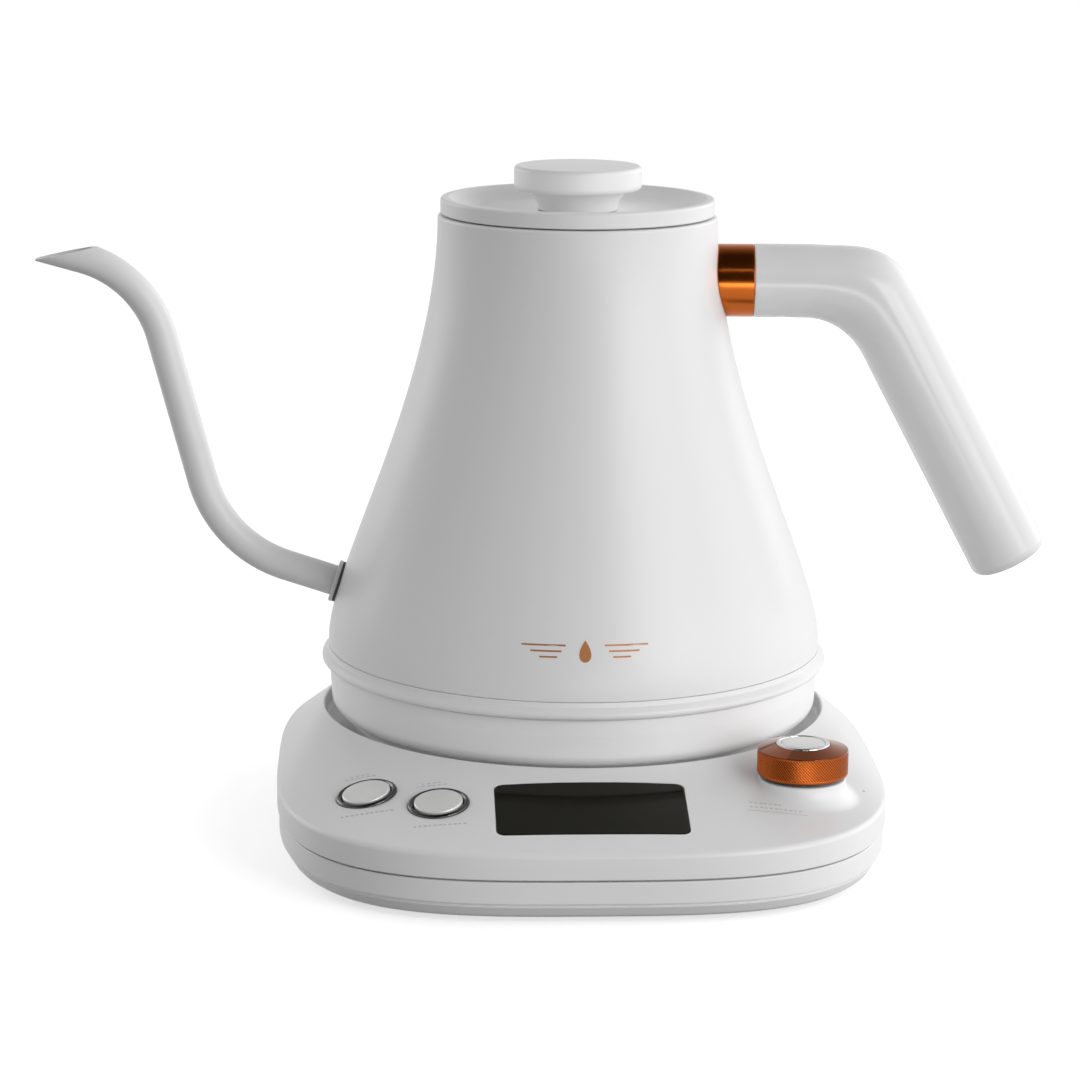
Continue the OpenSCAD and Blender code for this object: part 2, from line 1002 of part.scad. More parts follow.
// [centre, heading, half depth, half width] of every section
GRIP = concat(
  [[[collar_end, handle_z], 0, handle_d / 2 - 0.3, handle_d / 2 - 0.3],
   [[collar_end + 0.4, handle_z], 0, handle_d / 2, handle_d / 2]],
  [for (i = [0 : 12])
    let (u = i / 12, h = grip_angle * u)
      [bend_point(h) + swell(u) * [sin(h), cos(h)], h, grip_r(u) + swell(u), grip_r(u)]],
  [for (l = [slope_len / 3, slope_len * 2 / 3])
    [slope_point(l), grip_angle, grip_d / 2, grip_d / 2]],
  [for (i = [0 : 5])
    let (a = 90 * i / 5, r = grip_d / 2 - end_round * (1 - cos(a)))
      [slope_point(slope_len - end_round * (1 - sin(a))), grip_angle, r, r]]
);

module grip_solid() {
  sweep(GRIP, 36);
}

module handle_grip() {
  color(WHITE)
    on_kettle()
      difference() {
        grip_solid();
        translate([collar_end - 1, 0, handle_z])
          rotate([0, 90, 0])
            cylinder(r = 7, h = 21.5);
        translate([61, 0, 140])
          cylinder(r = 3.6, h = 11);
        translate([61, 0, 140])
          cylinder(r = 2.2, h = 16);
      }
}

module handle_screw() {
  color(STEEL)
    on_kettle()
      translate([61, 0, 0])
        difference() {
          union() {
            disc(3.4, 149.6, 151);
            disc(1.95, 151 - eps, 159.5);
          }
          translate([0, 0, 149.6])
            cylinder(r = 1.25, h = 2, $fn = 6, center = true);
        }
}

// ---------------------------------------------------------------- lid

lid_z = mouth_z + 0.3;
dish_z = lid_z + 1.7;

module lid_cap() {
  color(WHITE)
    rotate_extrude()
      polygon(concat(
        [[2.2, lid_z], [lid_r - 0.5, lid_z], [lid_r, lid_z + 0.5]],
        arc([lid_r - 0.9, lid_z + lid_h - 0.9], 0.9, 0, 90, 5),
        arc([lid_r - 2.3, lid_z + lid_h - 0.5], 0.5, 90, 160, 3),
        arc([lid_r - 5.2, dish_z + 1.2], 1.2, -20, -90, 4),
        [[2.2, dish_z]]
      ));
}

neck_base_r = 11.6;
neck_top_r = 14.8;
knob_low_z = knob_top_z - 7.4;

module lid_knob() {
  color(WHITE)
    difference() {
      rotate_extrude()
        polygon(concat(
          [[0, dish_z], [neck_base_r, dish_z]],
          curve([neck_base_r, dish_z + 1], [neck_base_r + 0.3, dish_z + 3.2],
            [neck_top_r - 1.2, knob_low_z - 1.2], [neck_top_r, knob_low_z - 0.1], 8),
          arc([knob_r - 1.6, knob_low_z + 1.6], 1.6, -90, 0, 5),
          arc([knob_r - 1.8, knob_top_z - 2.1], 1.8, 0, 84, 6),
          [[0, knob_top_z]]
        ));
      disc(2.05, dish_z - 1, dish_z + 8);
    }
}

liner_r = 36.4;
liner_z = 165.5;

// Plug under the lid with its steam holes
module lid_liner() {
  color(STEEL)
    difference() {
      union() {
        difference() {
          disc(liner_r, liner_z, lid_z);
          disc(liner_r - 1.3, liner_z + 1.4, lid_z + 1);
        }
        disc(5.5, liner_z, lid_z);
      }
      ring(liner_r + 2, liner_r - 0.8, 170.2, 173.4);
      disc(2.2, 160, 190);
      for (a = [0 : 45 : 315])
        rotate([0, 0, a])
          translate([20, 0, 160])
            cylinder(r = 1.6, h = 10, $fn = 32);
    }
}

module lid_seal() {
  color(SILICONE)
    rotate_extrude()
      polygon(concat(
        [[liner_r - 0.78, 170.3], [mouth_r - 0.9, 170.3]],
        [[mouth_r - 0.35, 171.8], [mouth_r - 0.9, 173.3], [liner_r - 0.78, 173.3]]
      ));
}

module lid_screw() {
  color(STEEL)
    difference() {
      union() {
        disc(3.8, liner_z - 2.2, liner_z);
        disc(2.0, liner_z - eps, dish_z + 7.5);
      }
      translate([0, 0, liner_z - 2.2])
        cube([5, 1, 2], center = true);
      translate([0, 0, liner_z - 2.2])
        cube([1, 5, 2], center = true);
    }
}

// ---------------------------------------------------------------- nodes

base_top_shell();
base_bottom_shell();
foot_pads();
base_screws();
base_connector();
connector_contacts();
glide_ring();
power_board();
power_components();
control_board();
ribbon_cable();
cord_inlet();
inner_leads();
display_glass();
display_module();
button_cap_left();
button_cap_right();
bezel_left();
bezel_right();
tact_switches();
buzzer();
dial_encoder();
encoder_rotor();
encoder_shaft();
dial_knob();
dial_ring();
dial_cap();
body_shell();
trim_ring();
bottom_cover();
heating_plate();
heating_element();
thermal_cutout();
temperature_probe();
probe_gasket();
kettle_coupler();
coupler_contacts();
element_leads();
coupler_screws();
bottom_screws();
spout_tube();
spout_flange();
spout_seal();
handle_collar();
handle_tang();
handle_grip();
handle_screw();
lid_cap();
lid_knob();
lid_liner();
lid_seal();
lid_screw();
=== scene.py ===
"""Looks of the gooseneck kettle: shells, spout, handle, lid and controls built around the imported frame."""

import json
import math

import bpy
import numpy as np
from mathutils import Matrix, Vector
from mathutils.geometry import delaunay_2d_cdt


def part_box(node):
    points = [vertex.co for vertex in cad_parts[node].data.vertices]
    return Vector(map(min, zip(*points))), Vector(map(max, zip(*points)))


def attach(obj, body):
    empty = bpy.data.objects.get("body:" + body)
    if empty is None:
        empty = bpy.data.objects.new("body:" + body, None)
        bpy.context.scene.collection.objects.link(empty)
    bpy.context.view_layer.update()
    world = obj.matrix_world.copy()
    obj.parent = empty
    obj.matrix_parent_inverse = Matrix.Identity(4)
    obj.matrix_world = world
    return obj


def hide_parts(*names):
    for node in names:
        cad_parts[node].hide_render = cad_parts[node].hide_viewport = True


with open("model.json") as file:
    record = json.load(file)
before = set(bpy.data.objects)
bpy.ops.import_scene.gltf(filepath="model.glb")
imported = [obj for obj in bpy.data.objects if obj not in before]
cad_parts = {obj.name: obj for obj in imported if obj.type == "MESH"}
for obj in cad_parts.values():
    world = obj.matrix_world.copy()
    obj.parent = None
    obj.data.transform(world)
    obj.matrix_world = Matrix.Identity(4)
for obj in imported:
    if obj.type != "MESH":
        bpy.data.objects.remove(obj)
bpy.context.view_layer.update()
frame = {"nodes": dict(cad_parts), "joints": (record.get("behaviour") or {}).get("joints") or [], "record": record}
NODES = frame["nodes"]
JOINTS = {j["name"]: j for j in frame["joints"]}
MM = 0.001


# ---------------------------------------------------------------- frame readings, in millimetres


def box_mm(node):
    low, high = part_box(node)
    return np.array(low) / MM, np.array(high) / MM


def seat_of(node, normal, top):
    """Spot on a round node's axis, top below its highest point along normal, as a placing matrix."""
    n = Vector(normal).normalized()
    u = n.orthogonal().normalized()
    w = n.cross(u)
    points = np.array([v.co for v in NODES[node].data.vertices]) / MM
    spot = Vector()
    for axis in (u, w):
        reach = points @ np.array(axis)
        spot += axis * float((reach.min() + reach.max()) / 2)
    spot += n * float((points @ np.array(n)).max() - top)
    place = Matrix((u, w, n)).transposed().to_4x4()
    place.translation = spot
    return place


screw_low, screw_high = box_mm("handle_screw")
screw_mid = (screw_low + screw_high) / 2
TURN = math.atan2(screw_mid[1], screw_mid[0])  # how far the kettle is turned on its base
ON_KETTLE = Matrix.Rotation(TURN, 4, "Z")
DIAL_X, DIAL_Y = (c / MM for c in JOINTS["dial_turn"]["pos_m"][:2])


# ---------------------------------------------------------------- outlines


def fillet(points, steps=4, closed=False):
    """Polyline with its corners rounded; a point is (x, y) or (x, y, radius)."""
    out = []
    last = len(points) - 1
    for i, p in enumerate(points):
        radius = p[2] if len(p) > 2 else 0
        if radius == 0 or (not closed and i in (0, last)):
            out.append((p[0], p[1]))
            continue
        here = np.array(p[:2], float)
        back = np.array(points[i - 1][:2], float) - here
        on = np.array(points[(i + 1) % len(points)][:2], float) - here
        long_back, long_on = np.linalg.norm(back), np.linalg.norm(on)
        back, on = back / long_back, on / long_on
        half = math.acos(float(np.clip(back @ on, -1, 1))) / 2
        reach = min(radius / math.tan(half), 0.49 * long_back, 0.49 * long_on)
        r = reach * math.tan(half)
        centre = here + (back + on) / np.linalg.norm(back + on) * (r / math.sin(half))
        a, b = here + back * reach - centre, here + on * reach - centre
        sweep = math.acos(float(np.clip(a @ b / (r * r), -1, 1)))
        for k in range(steps + 1):
            t = k / steps
            v = (math.sin((1 - t) * sweep) * a + math.sin(t * sweep) * b) / math.sin(sweep)
            out.append(tuple(centre + v))
    return out


def arc(cx, cy, r, a0, a1, steps):
    return [
        (cx + r * math.cos(math.radians(a0 + (a1 - a0) * k / steps)),
         cy + r * math.sin(math.radians(a0 + (a1 - a0) * k / steps)))
        for k in range(steps + 1)
    ]


def bezier(points, t):
    """Points of a cubic curve at the shares t."""
    a, b, c, d = (np.array(q) for q in points)
    t = np.array(t)[:, None]
    s = 1 - t
    return s**3 * a + 3 * s * s * t * b + 3 * s * t * t * c + t**3 * d


def circle(cx, cy, r, count):
    a = np.arange(count) * 2 * math.pi / count
    return np.column_stack([cx + r * np.cos(a), cy + r * np.sin(a)])


def rounded_rectangle(w, d, r, per_corner=8, along=6):
    """Closed outline, counter-clockwise, with points along its straight sides too."""
    out = []
    corners = [(w / 2 - r, -d / 2 + r, -90), (w / 2 - r, d / 2 - r, 0),
               (-w / 2 + r, d / 2 - r, 90), (-w / 2 + r, -d / 2 + r, 180)]
    for i, (cx, cy, a0) in enumerate(corners):
        out += arc(cx, cy, r, a0, a0 + 90, per_corner)
        nx, ny, na = corners[(i + 1) % 4]
        end = (nx + r * math.cos(math.radians(na)), ny + r * math.sin(math.radians(na)))
        start = out[-1]
        for k in range(1, along):
            t = k / along
            out.append((start[0] + (end[0] - start[0]) * t, start[1] + (end[1] - start[1]) * t))
    return np.array(out)


# ---------------------------------------------------------------- mesh building


class Piece:
    """Vertices and faces of one piece, in millimetres."""

    def __init__(self):
        self.points, self.faces, self.kinds, self.kind = [], [], [], 0

    def ring(self, points, place=None):
        """Adds points and returns their indices."""
        first = len(self.points)
        if place is not None:
            points = [place @ Vector(p) for p in points]
        self.points += [tuple(map(float, p)) for p in points]
        return list(range(first, len(self.points)))

    def face(self, corners):
        self.faces.append(tuple(corners))
        self.kinds.append(self.kind)

    def band(self, a, b, closed=True):
        """Quads between two rings; going round anticlockwise, b is up from a on an outer wall."""
        count = len(a)
        for i in range(count if closed else count - 1):
            j = (i + 1) % count
            self.face((a[i], a[j], b[j], b[i]))

    def stack(self, rings, closed=False, flip=False):
        """Bands from each ring to the next, and from the last to the first if closed."""
        for a, b in zip(rings, rings[1:] + rings[:1] if closed else rings[1:]):
            self.band(*((b, a) if flip else (a, b)))

    def fan(self, ring, tip, flip=False):
        for i in range(len(ring)):
            a, b = ring[i], ring[(i + 1) % len(ring)]
            self.face((b, a, tip) if flip else (a, b, tip))

    def spin(self, profile, segments=192, place=None, closed=True, centre=(0, 0), kinds=None):
        """Turns an (r, z) profile round the Z axis, outer wall upwards. A point at r = 0 is a pole."""
        a = np.arange(segments) * 2 * math.pi / segments
        co, si = np.cos(a), np.sin(a)
        rings = []
        for r, z in profile:
            if r < 1e-9:
                rings.append(self.ring([(centre[0], centre[1], z)], place))
            else:
                rings.append(self.ring(np.column_stack(
                    [centre[0] + r * co, centre[1] + r * si, np.full(segments, z)]), place))
        pairs = list(zip(rings, rings[1:] + rings[:1]))
        for i, (low, high) in enumerate(pairs if closed else pairs[:-1]):
            if kinds is not None:
                self.kind = kinds(i)
            if len(low) == 1 and len(high) == 1:
                continue
            if len(high) == 1:
                self.fan(low, high[0])
            elif len(low) == 1:
                self.fan(high, low[0], flip=True)
            else:
                self.band(low, high)
        return rings

    def patch(self, loops, inner, height, up=True):
        """Triangles between loops, the first one outermost, through the inner points as well.
        loops are lists of indices of points that exist already; height gives new points' z."""
        known = [i for loop in loops for i in loop]
        flat = [Vector(self.points[i][:2]) for i in known] + [Vector(p) for p in inner]
        edges, start = [], 0
        for loop in loops:
            edges += [(start + k, start + (k + 1) % len(loop)) for k in range(len(loop))]
            start += len(loop)
        made = delaunay_2d_cdt(flat, edges, [], 0, 1e-7)
        fresh = self.ring(np.column_stack([np.array(inner), height(np.array(inner))])) if len(inner) else []
        index = known + fresh
        origin = [index[o[0]] for o in made[3]]
        corners = np.array([[origin[k] for k in f] for f in made[2]])
        xy = np.array(self.points)[:, :2]
        middle = xy[corners].mean(axis=1)
        keep = inside(middle, xy[loops[0]])
        for loop in loops[1:]:
            keep &= ~inside(middle, xy[loop])
        for f in corners[keep]:
            p, q, r = xy[f]
            anticlockwise = (q[0] - p[0]) * (r[1] - p[1]) - (q[1] - p[1]) * (r[0] - p[0]) > 0
            self.face(f if anticlockwise == up else f[::-1])

    def raw(self, name):
        """A bare object with this piece's mesh, in metres."""
        mesh = bpy.data.meshes.new(name)
        mesh.from_pydata((np.array(self.points) * MM).tolist(), [], [tuple(map(int, f)) for f in self.faces])
        made = bpy.data.objects.new(name, mesh)
        bpy.context.scene.collection.objects.link(made)
        return made

    def make(self, name, body, slot, replaces=(), looks=None, normals=None, cut=()):
        """The finished object, riding on body. looks names its surfaces; without it, it has its slot's.
        normals overrides vertex normals by index, and cut lists closed Pieces to cut out."""
        piece = self.raw(name)
        piece.data.polygons.foreach_set("material_index", np.array(self.kinds, np.int32))
        for look in looks or [LOOK_OF_SLOT[slot]]:
            piece.data.materials.append(LOOK[look])
        for cutter in cut:
            carve(piece, cutter)
        known = {key(self.points[i]): n for i, n in (normals or {}).items()}
        smooth_normals(piece.data, known)
        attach(piece, body)
        if replaces:
            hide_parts(*replaces)


def turned(name, body, slot, replaces, profile, segments=128, place=None, centre=(0, 0)):
    """A piece that is one turned profile. A profile that starts on the axis isn't closed."""
    p = Piece()
    p.spin(profile, segments, place, profile[0][0] > 0, centre)
    p.make(name, body, slot, replaces)


def inside(points, loop):
    """Which points lie inside a closed loop."""
    x, y = points[:, 0][:, None], points[:, 1][:, None]
    ax, ay = loop[:, 0], loop[:, 1]
    bx, by = np.roll(ax, -1), np.roll(ay, -1)
    crosses = (ay > y) != (by > y)
    with np.errstate(divide="ignore", invalid="ignore"):
        at = ax + (y - ay) * (bx - ax) / (by - ay)
    return (crosses & (x < at)).sum(axis=1) % 2 == 1


def key(point):
    """A spot in millimetres, rounded so that it can be looked up."""
    return tuple(round(float(c), 3) for c in point)


def smooth_normals(mesh, given):
    """Vertex normals weighted by face area, so that flats stay flat between their rounded edges.
    given holds known normals by spot."""
    mesh.update()
    count = len(mesh.vertices)
    total = np.zeros((count, 3))
    areas = np.zeros(len(mesh.polygons))
    facing = np.zeros(len(mesh.polygons) * 3)
    mesh.polygons.foreach_get("area", areas)
    mesh.polygons.foreach_get("normal", facing)
    weight = facing.reshape(-1, 3) * areas[:, None]
    corner_of = np.zeros(len(mesh.loops), np.int64)
    mesh.loops.foreach_get("vertex_index", corner_of)
    sizes = np.zeros(len(mesh.polygons), np.int64)
    mesh.polygons.foreach_get("loop_total", sizes)
    np.add.at(total, corner_of, np.repeat(weight, sizes, axis=0))
    if given:
        for i, v in enumerate(mesh.vertices):
            total[i] = given.get(key(v.co / MM), total[i])
    total[np.linalg.norm(total, axis=1) < 1e-20] = (0, 0, 1)
    total /= np.linalg.norm(total, axis=1)[:, None]
    mesh.shade_smooth()
    mesh.normals_split_custom_set_from_vertices(total.tolist())


def carve(piece, cutter):
    """Cuts a closed Piece out of a piece."""
    tool = cutter.raw("cutter")
    step = piece.modifiers.new("cut", "BOOLEAN")
    step.operation, step.solver, step.object = "DIFFERENCE", "EXACT", tool
    bpy.context.view_layer.update()
    made = bpy.data.meshes.new_from_object(piece.evaluated_get(bpy.context.evaluated_depsgraph_get()))
    piece.modifiers.clear()
    old, piece.data = piece.data, made
    made.name = old.name + "_cut"
    bpy.data.meshes.remove(old)
    bpy.data.objects.remove(tool)


def prism(loop, z0, z1, place=None):
    """Closed solid over a flat outline, to cut with."""
    p = Piece()
    low = p.ring([(x, y, z0) for x, y in loop], place)
    high = p.ring([(x, y, z1) for x, y in loop], place)
    p.band(low, high)
    p.face(high)
    p.face(low[::-1])
    return p


# ---------------------------------------------------------------- materials


def wire(tree, node, inputs):
    """Gives a node's inputs, by name or number, their values or the other nodes' outputs they take."""
    for socket, value in inputs.items():
        if isinstance(value, bpy.types.NodeSocket):
            tree.links.new(value, node.inputs[socket])
        else:
            node.inputs[socket].default_value = value


def linked(tree, kind, inputs=(), **settings):
    """The outputs of a new node."""
    node = tree.nodes.new(kind)
    for name, value in settings.items():
        setattr(node, name, value)
    wire(tree, node, dict(inputs))
    return node.outputs


def map_range(tree, value, **ends):
    """A value carried from one range to another; an end is from_min, from_max, to_min or to_max."""
    inputs = {name.replace("_", " ").title(): end for name, end in ends.items()}
    return linked(tree, "ShaderNodeMapRange", {"Value": value, **inputs})["Result"]


def scaled(tree, vector, share):
    return linked(tree, "ShaderNodeVectorMath", {0: vector, "Scale": share}, operation="SCALE")["Vector"]


def finish_of(name, colour, rough, metallic=0.0, grain=900.0, bump=0.00001, mottle=0.015,
              rough_spread=0.05, stretch=(1, 1, 1), **sockets):
    """A procedural surface: fine grain in its bump, slow variation in its colour and roughness."""
    m = bpy.data.materials.new(name)
    m.use_nodes = True
    tree = m.node_tree
    place = linked(tree, "ShaderNodeTexCoord")["Object"]
    stretched = linked(tree, "ShaderNodeMapping", {"Vector": place, "Scale": stretch})["Vector"]

    def noise(scale, detail=3.0):
        inputs = {"Vector": stretched, "Scale": scale, "Detail": detail}
        return linked(tree, "ShaderNodeTexNoise", inputs)["Fac"]

    tint = map_range(tree, noise(grain / 12), to_min=1 - mottle, to_max=1 + mottle)
    smoothest = max(rough - rough_spread, 0.0)
    gloss = map_range(tree, noise(grain / 3), to_min=smoothest, to_max=rough + rough_spread)
    relief = linked(tree, "ShaderNodeBump", {"Height": noise(grain, 4.0), "Strength": 1.0, "Distance": bump})
    wire(tree, tree.nodes["Principled BSDF"], {
        "Metallic": metallic, "Base Color": scaled(tree, colour, tint), "Roughness": gloss,
        "Normal": relief["Normal"], **sockets})
    return m


WHITE = (0.86, 0.86, 0.865)
LOOK = {
    "shell": finish_of("moulded_white", WHITE, 0.34, grain=1600, bump=0.000008, mottle=0.008),
    "paint": finish_of("powder_white", WHITE, 0.36, grain=1100, bump=0.000012, mottle=0.008),
    "grip": finish_of("grip_white", WHITE, 0.22, grain=1500, bump=0.000006, mottle=0.008),
    "copper": finish_of("copper_plate", (0.52, 0.125, 0.02), 0.2, 1.0, grain=700, bump=0.000002,
                        mottle=0.05, stretch=(0.15, 1, 1)),
    # its base colour later gets painted shade in the knurl's grooves, added in knurled_wall
    "knurl_copper": finish_of("copper_knurl", (0.62, 0.14, 0.026), 0.22, 1.0, grain=1200, bump=0.000003,
                              mottle=0.08),
    # same copper as the wall, darker in base colour: painted dark reflection of the surroundings in the polished
    # cone
    "cone_copper_painted_dark": finish_of("copper_cone_painted_dark", (0.23, 0.06, 0.018), 0.09, 1.0, grain=1200, bump=0.000001,
                             mottle=0.08),
    "cap": finish_of("pearl_silver", (0.86, 0.86, 0.845), 0.32, 0.25, grain=1800, bump=0.000002,
                     mottle=0.05),
    "dark_chrome": finish_of("dark_chrome", (0.11, 0.11, 0.11), 0.16, 1.0, grain=900, bump=0.000001,
                             mottle=0.06),
    "chrome": finish_of("bright_chrome", (0.66, 0.66, 0.67), 0.08, 1.0, grain=900, bump=0.000001,
                        mottle=0.04),
    "glass": finish_of("display_window", (0.008, 0.0075, 0.003), 0.06, grain=300, bump=0.0000004,
                       mottle=0.3, rough_spread=0.015, **{"Specular IOR Level": 0.07}),
    "nylon": finish_of("black_nylon", (0.022, 0.022, 0.024), 0.5, grain=1500, bump=0.00002, mottle=0.15),
    "parts": finish_of("component_black", (0.03, 0.03, 0.032), 0.45, grain=1200, bump=0.00001,
                       mottle=0.2),
    "brass": finish_of("contact_brass", (0.78, 0.56, 0.25), 0.28, 1.0, grain=1500, bump=0.000004,
                       mottle=0.08),
    "zinc": finish_of("zinc_steel", (0.55, 0.56, 0.58), 0.32, 1.0, grain=1300, bump=0.000004,
                      mottle=0.08),
    "steel": finish_of("brushed_steel", (0.60, 0.60, 0.61), 0.30, 1.0, grain=900, bump=0.000004,
                       mottle=0.05, rough_spread=0.08, stretch=(1, 1, 12)),
    "board": finish_of("solder_mask", (0.015, 0.12, 0.05), 0.35, grain=500, bump=0.00001, mottle=0.2),
    "rubber": finish_of("grey_rubber", (0.12, 0.12, 0.125), 0.75, grain=1300, bump=0.00002, mottle=0.1),
    "silicone": finish_of("white_silicone", (0.75, 0.75, 0.73), 0.45, grain=1100, bump=0.00001,
                          mottle=0.03, **{"Subsurface Weight": 0.15}),
    "sleeve": finish_of("braided_sleeve", (0.6, 0.56, 0.48), 0.8, grain=2600, bump=0.00005, mottle=0.25),
    "copper_print": finish_of("copper_print", (0.50, 0.20, 0.07), 0.42, 0.35, grain=2600, bump=0.000004,
                              mottle=0.12),
    "print": finish_of("grey_print", (0.60, 0.60, 0.60), 0.5, grain=2600, bump=0.000002, mottle=0.15),
}

LOOK_OF_SLOT = {
    "white_shell": "shell", "white_paint": "paint", "white_grip": "grip", "copper": "copper",
    "silver_cap": "cap", "dark_chrome": "dark_chrome", "bright_chrome": "chrome",
    "display_black": "glass", "black_nylon": "nylon", "black_parts": "parts",
    "contact_brass": "brass", "zinc_steel": "zinc", "stainless": "steel", "circuit_board": "board",
    "rubber_grey": "rubber", "silicone": "silicone", "lead_sleeve": "sleeve",
}
SLOT_OF_NODE = {s["node"]: s["material_slot"] for s in frame["record"]["subparts"]}


def paint_groove_shade(material, centre, low, high, darkest):
    """Painted shade in the grooves of a knurled wall: the base colour is darker nearer the dial's axis."""
    tree = material.node_tree
    shader = tree.nodes["Principled BSDF"]
    tint = shader.inputs["Base Color"].links[0].from_socket
    place = linked(tree, "ShaderNodeTexCoord")["Object"]
    to_axis = {0: place, 1: (1, 1, 0), 2: (-centre[0] * MM, -centre[1] * MM, 0)}
    flat = linked(tree, "ShaderNodeVectorMath", to_axis, operation="MULTIPLY_ADD")["Vector"]
    reach = linked(tree, "ShaderNodeVectorMath", {0: flat}, operation="LENGTH")["Value"]
    # painted shade: the base colour drops to the darkest share where the groove lies deepest
    share = map_range(tree, reach, from_min=low * MM, from_max=high * MM, to_min=darkest, to_max=1.0)
    wire(tree, shader, {"Base Color": scaled(tree, tint, share)})


def dress_cad_nodes():
    """Every CAD node gets its slot's procedural surface."""
    for name, node in NODES.items():
        node.data.materials.clear()
        node.data.materials.append(LOOK[LOOK_OF_SLOT[SLOT_OF_NODE[name]]])


# ---------------------------------------------------------------- base: the outline and the panel

base_low, base_high = box_mm("base_top_shell")
BASE_A = (base_high[0] - base_low[0]) / 2
BASE_B = (base_high[1] - base_low[1]) / 2
BASE_Y = (base_high[1] + base_low[1]) / 2
BASE_POWER = 3.2
LIP_R, LIP_Z = 75.5, base_high[2]
SHOULDER_Z, SHOULDER_IN = 20.8, 1.2
PARTING_Z = 13.2
PANEL_T = 2.6
CHANNEL_R, CHANNEL_Z = 75.0, 26.5
SEAT_R, SEAT_Z = 66.0, 30.0
SEAT_UNDER = 27.8
HOLE_R = 19.5
RECESS_R, RECESS_Z, BLOCK_R = 63.8, 24.3, 77.5
WALL_IN, FOOT_IN = 3.2, 2.2
SCREW_CIRCLE = 72.5


def support(theta):
    """Distance from the kettle's axis of the outline's tangent with its normal at theta."""
    q = BASE_POWER / (BASE_POWER - 1)
    c, s = np.cos(theta), np.sin(theta)
    return (np.abs(BASE_A * c) ** q + np.abs(BASE_B * s) ** q) ** (1 / q) + BASE_Y * s


def outline(theta, inset):
    """Points of the base outline whose normal is at theta, drawn in by inset."""
    q = BASE_POWER / (BASE_POWER - 1)
    c, s = np.cos(theta), np.sin(theta)
    g = (np.abs(BASE_A * c) ** q + np.abs(BASE_B * s) ** q) ** (1 / q - 1)
    x = np.sign(c) * BASE_A**q * np.abs(c) ** (q - 1) * g - inset * c
    y = np.sign(s) * BASE_B**q * np.abs(s) ** (q - 1) * g - inset * s + BASE_Y
    return np.column_stack([x, y])


def outline_angles(count):
    """Normals spread so that both the outline and the round lip get even steps."""
    t = np.linspace(0, 2 * math.pi, 40001)
    c, s = np.cos(t), np.sin(t)
    x = BASE_A * np.sign(c) * np.abs(c) ** (2 / BASE_POWER)
    y = BASE_B * np.sign(s) * np.abs(s) ** (2 / BASE_POWER)
    normal = np.unwrap(np.arctan2(np.sign(y) * np.abs(y / BASE_B) ** (BASE_POWER - 1) / BASE_B,
                                  np.sign(x) * np.abs(x / BASE_A) ** (BASE_POWER - 1) / BASE_A))
    length = np.concatenate([[0], np.cumsum(np.hypot(np.diff(x), np.diff(y)))])
    measure = length / length[-1] + normal / (2 * math.pi)
    return np.interp(np.arange(count) * 2 / count, measure, normal)


TABLE_ANGLES = np.arange(2880) * 2 * math.pi / 2880
TABLE_SUPPORT = support(TABLE_ANGLES) - SHOULDER_IN
TABLE_DIRECTION = np.column_stack([np.cos(TABLE_ANGLES), np.sin(TABLE_ANGLES)])


def panel(points, want_normals=False):
    """Height of the sloping panel: the lowest of the planes that touch the lip and the shoulder."""
    points = np.asarray(points, float)
    best = np.zeros(len(points))
    which = np.zeros(len(points), int)
    for start in range(0, len(points), 2000):
        part = slice(start, start + 2000)
        share = (TABLE_SUPPORT - points[part] @ TABLE_DIRECTION.T) / (TABLE_SUPPORT - LIP_R)
        which[part] = share.argmin(axis=1)
        best[part] = share.min(axis=1)
    z = SHOULDER_Z + (LIP_Z - SHOULDER_Z) * best
    if not want_normals:
        return z
    rise = (TABLE_SUPPORT[which] - LIP_R) / (LIP_Z - SHOULDER_Z)
    n = np.column_stack([TABLE_DIRECTION[which], rise])
    return z, n / np.linalg.norm(n, axis=1)[:, None]


def lifted(xy, z):
    return np.column_stack([xy, np.broadcast_to(z, len(xy))])


# display, buttons and dial on the panel
glass_low, glass_high = box_mm("display_glass")
DISPLAY_W = glass_high[0] - glass_low[0]
DISPLAY_TILT = math.atan((LIP_Z - SHOULDER_Z) / (BASE_B - BASE_Y - SHOULDER_IN - LIP_R))
DISPLAY_D, DISPLAY_R, GLASS_T = 28.6, 2.5, 1.6
DISPLAY_Y, DISPLAY_Z = -96.8, 26.0
ON_DISPLAY = Matrix.Translation((0, DISPLAY_Y, DISPLAY_Z)) @ Matrix.Rotation(DISPLAY_TILT, 4, "X")
BEZEL_R, CAP_R, BEZEL_TOP = 8.6, 6.8, 0.7
BUTTONS = {
    side: seat_of("bezel_" + side, [-c for c in JOINTS[f"button_{side}_press"]["axis"]], BEZEL_TOP)
    for side in ("left", "right")
}
BOSS_R, BOSS_TOP_R, BOSS_SHOULDER, BOSS_Z = 16.8, 12.3, 28.5, 29.1
SHAFT_HOLE_R, ENCODER_R, ENCODER_Z = 4.7, 9.4, 26.9
PIN_X, PIN_Y, PIN_R = 79.0, -70.4, 0.55


def display_loop(w, d, r):
    """Rounded rectangle of the display, seen from straight above."""
    flat = rounded_rectangle(w, d, r)
    return np.array([(ON_DISPLAY @ Vector((x, y, 0)))[:2] for x, y in flat])


def button_loop(place, r, count=96):
    return np.array([(place @ Vector((x, y, 0)))[:2] for x, y in circle(0, 0, r, count)])


def cord_opening():
    """Square opening in the rear wall round the cord's grommet."""
    across, z0, z1 = 17.8, 9.0, 17.2
    stand = Matrix.Translation((0, 0, (z0 + z1) / 2)) @ Matrix.Rotation(-math.pi / 2, 4, "X")
    return prism(rounded_rectangle(across, z1 - z0, 0.9), 74, 90, stand)


THETA = outline_angles(720)
OUT = np.column_stack([np.cos(THETA), np.sin(THETA)])
SLOPE = np.arctan((LIP_Z - SHOULDER_Z) / (support(THETA) - SHOULDER_IN - LIP_R))


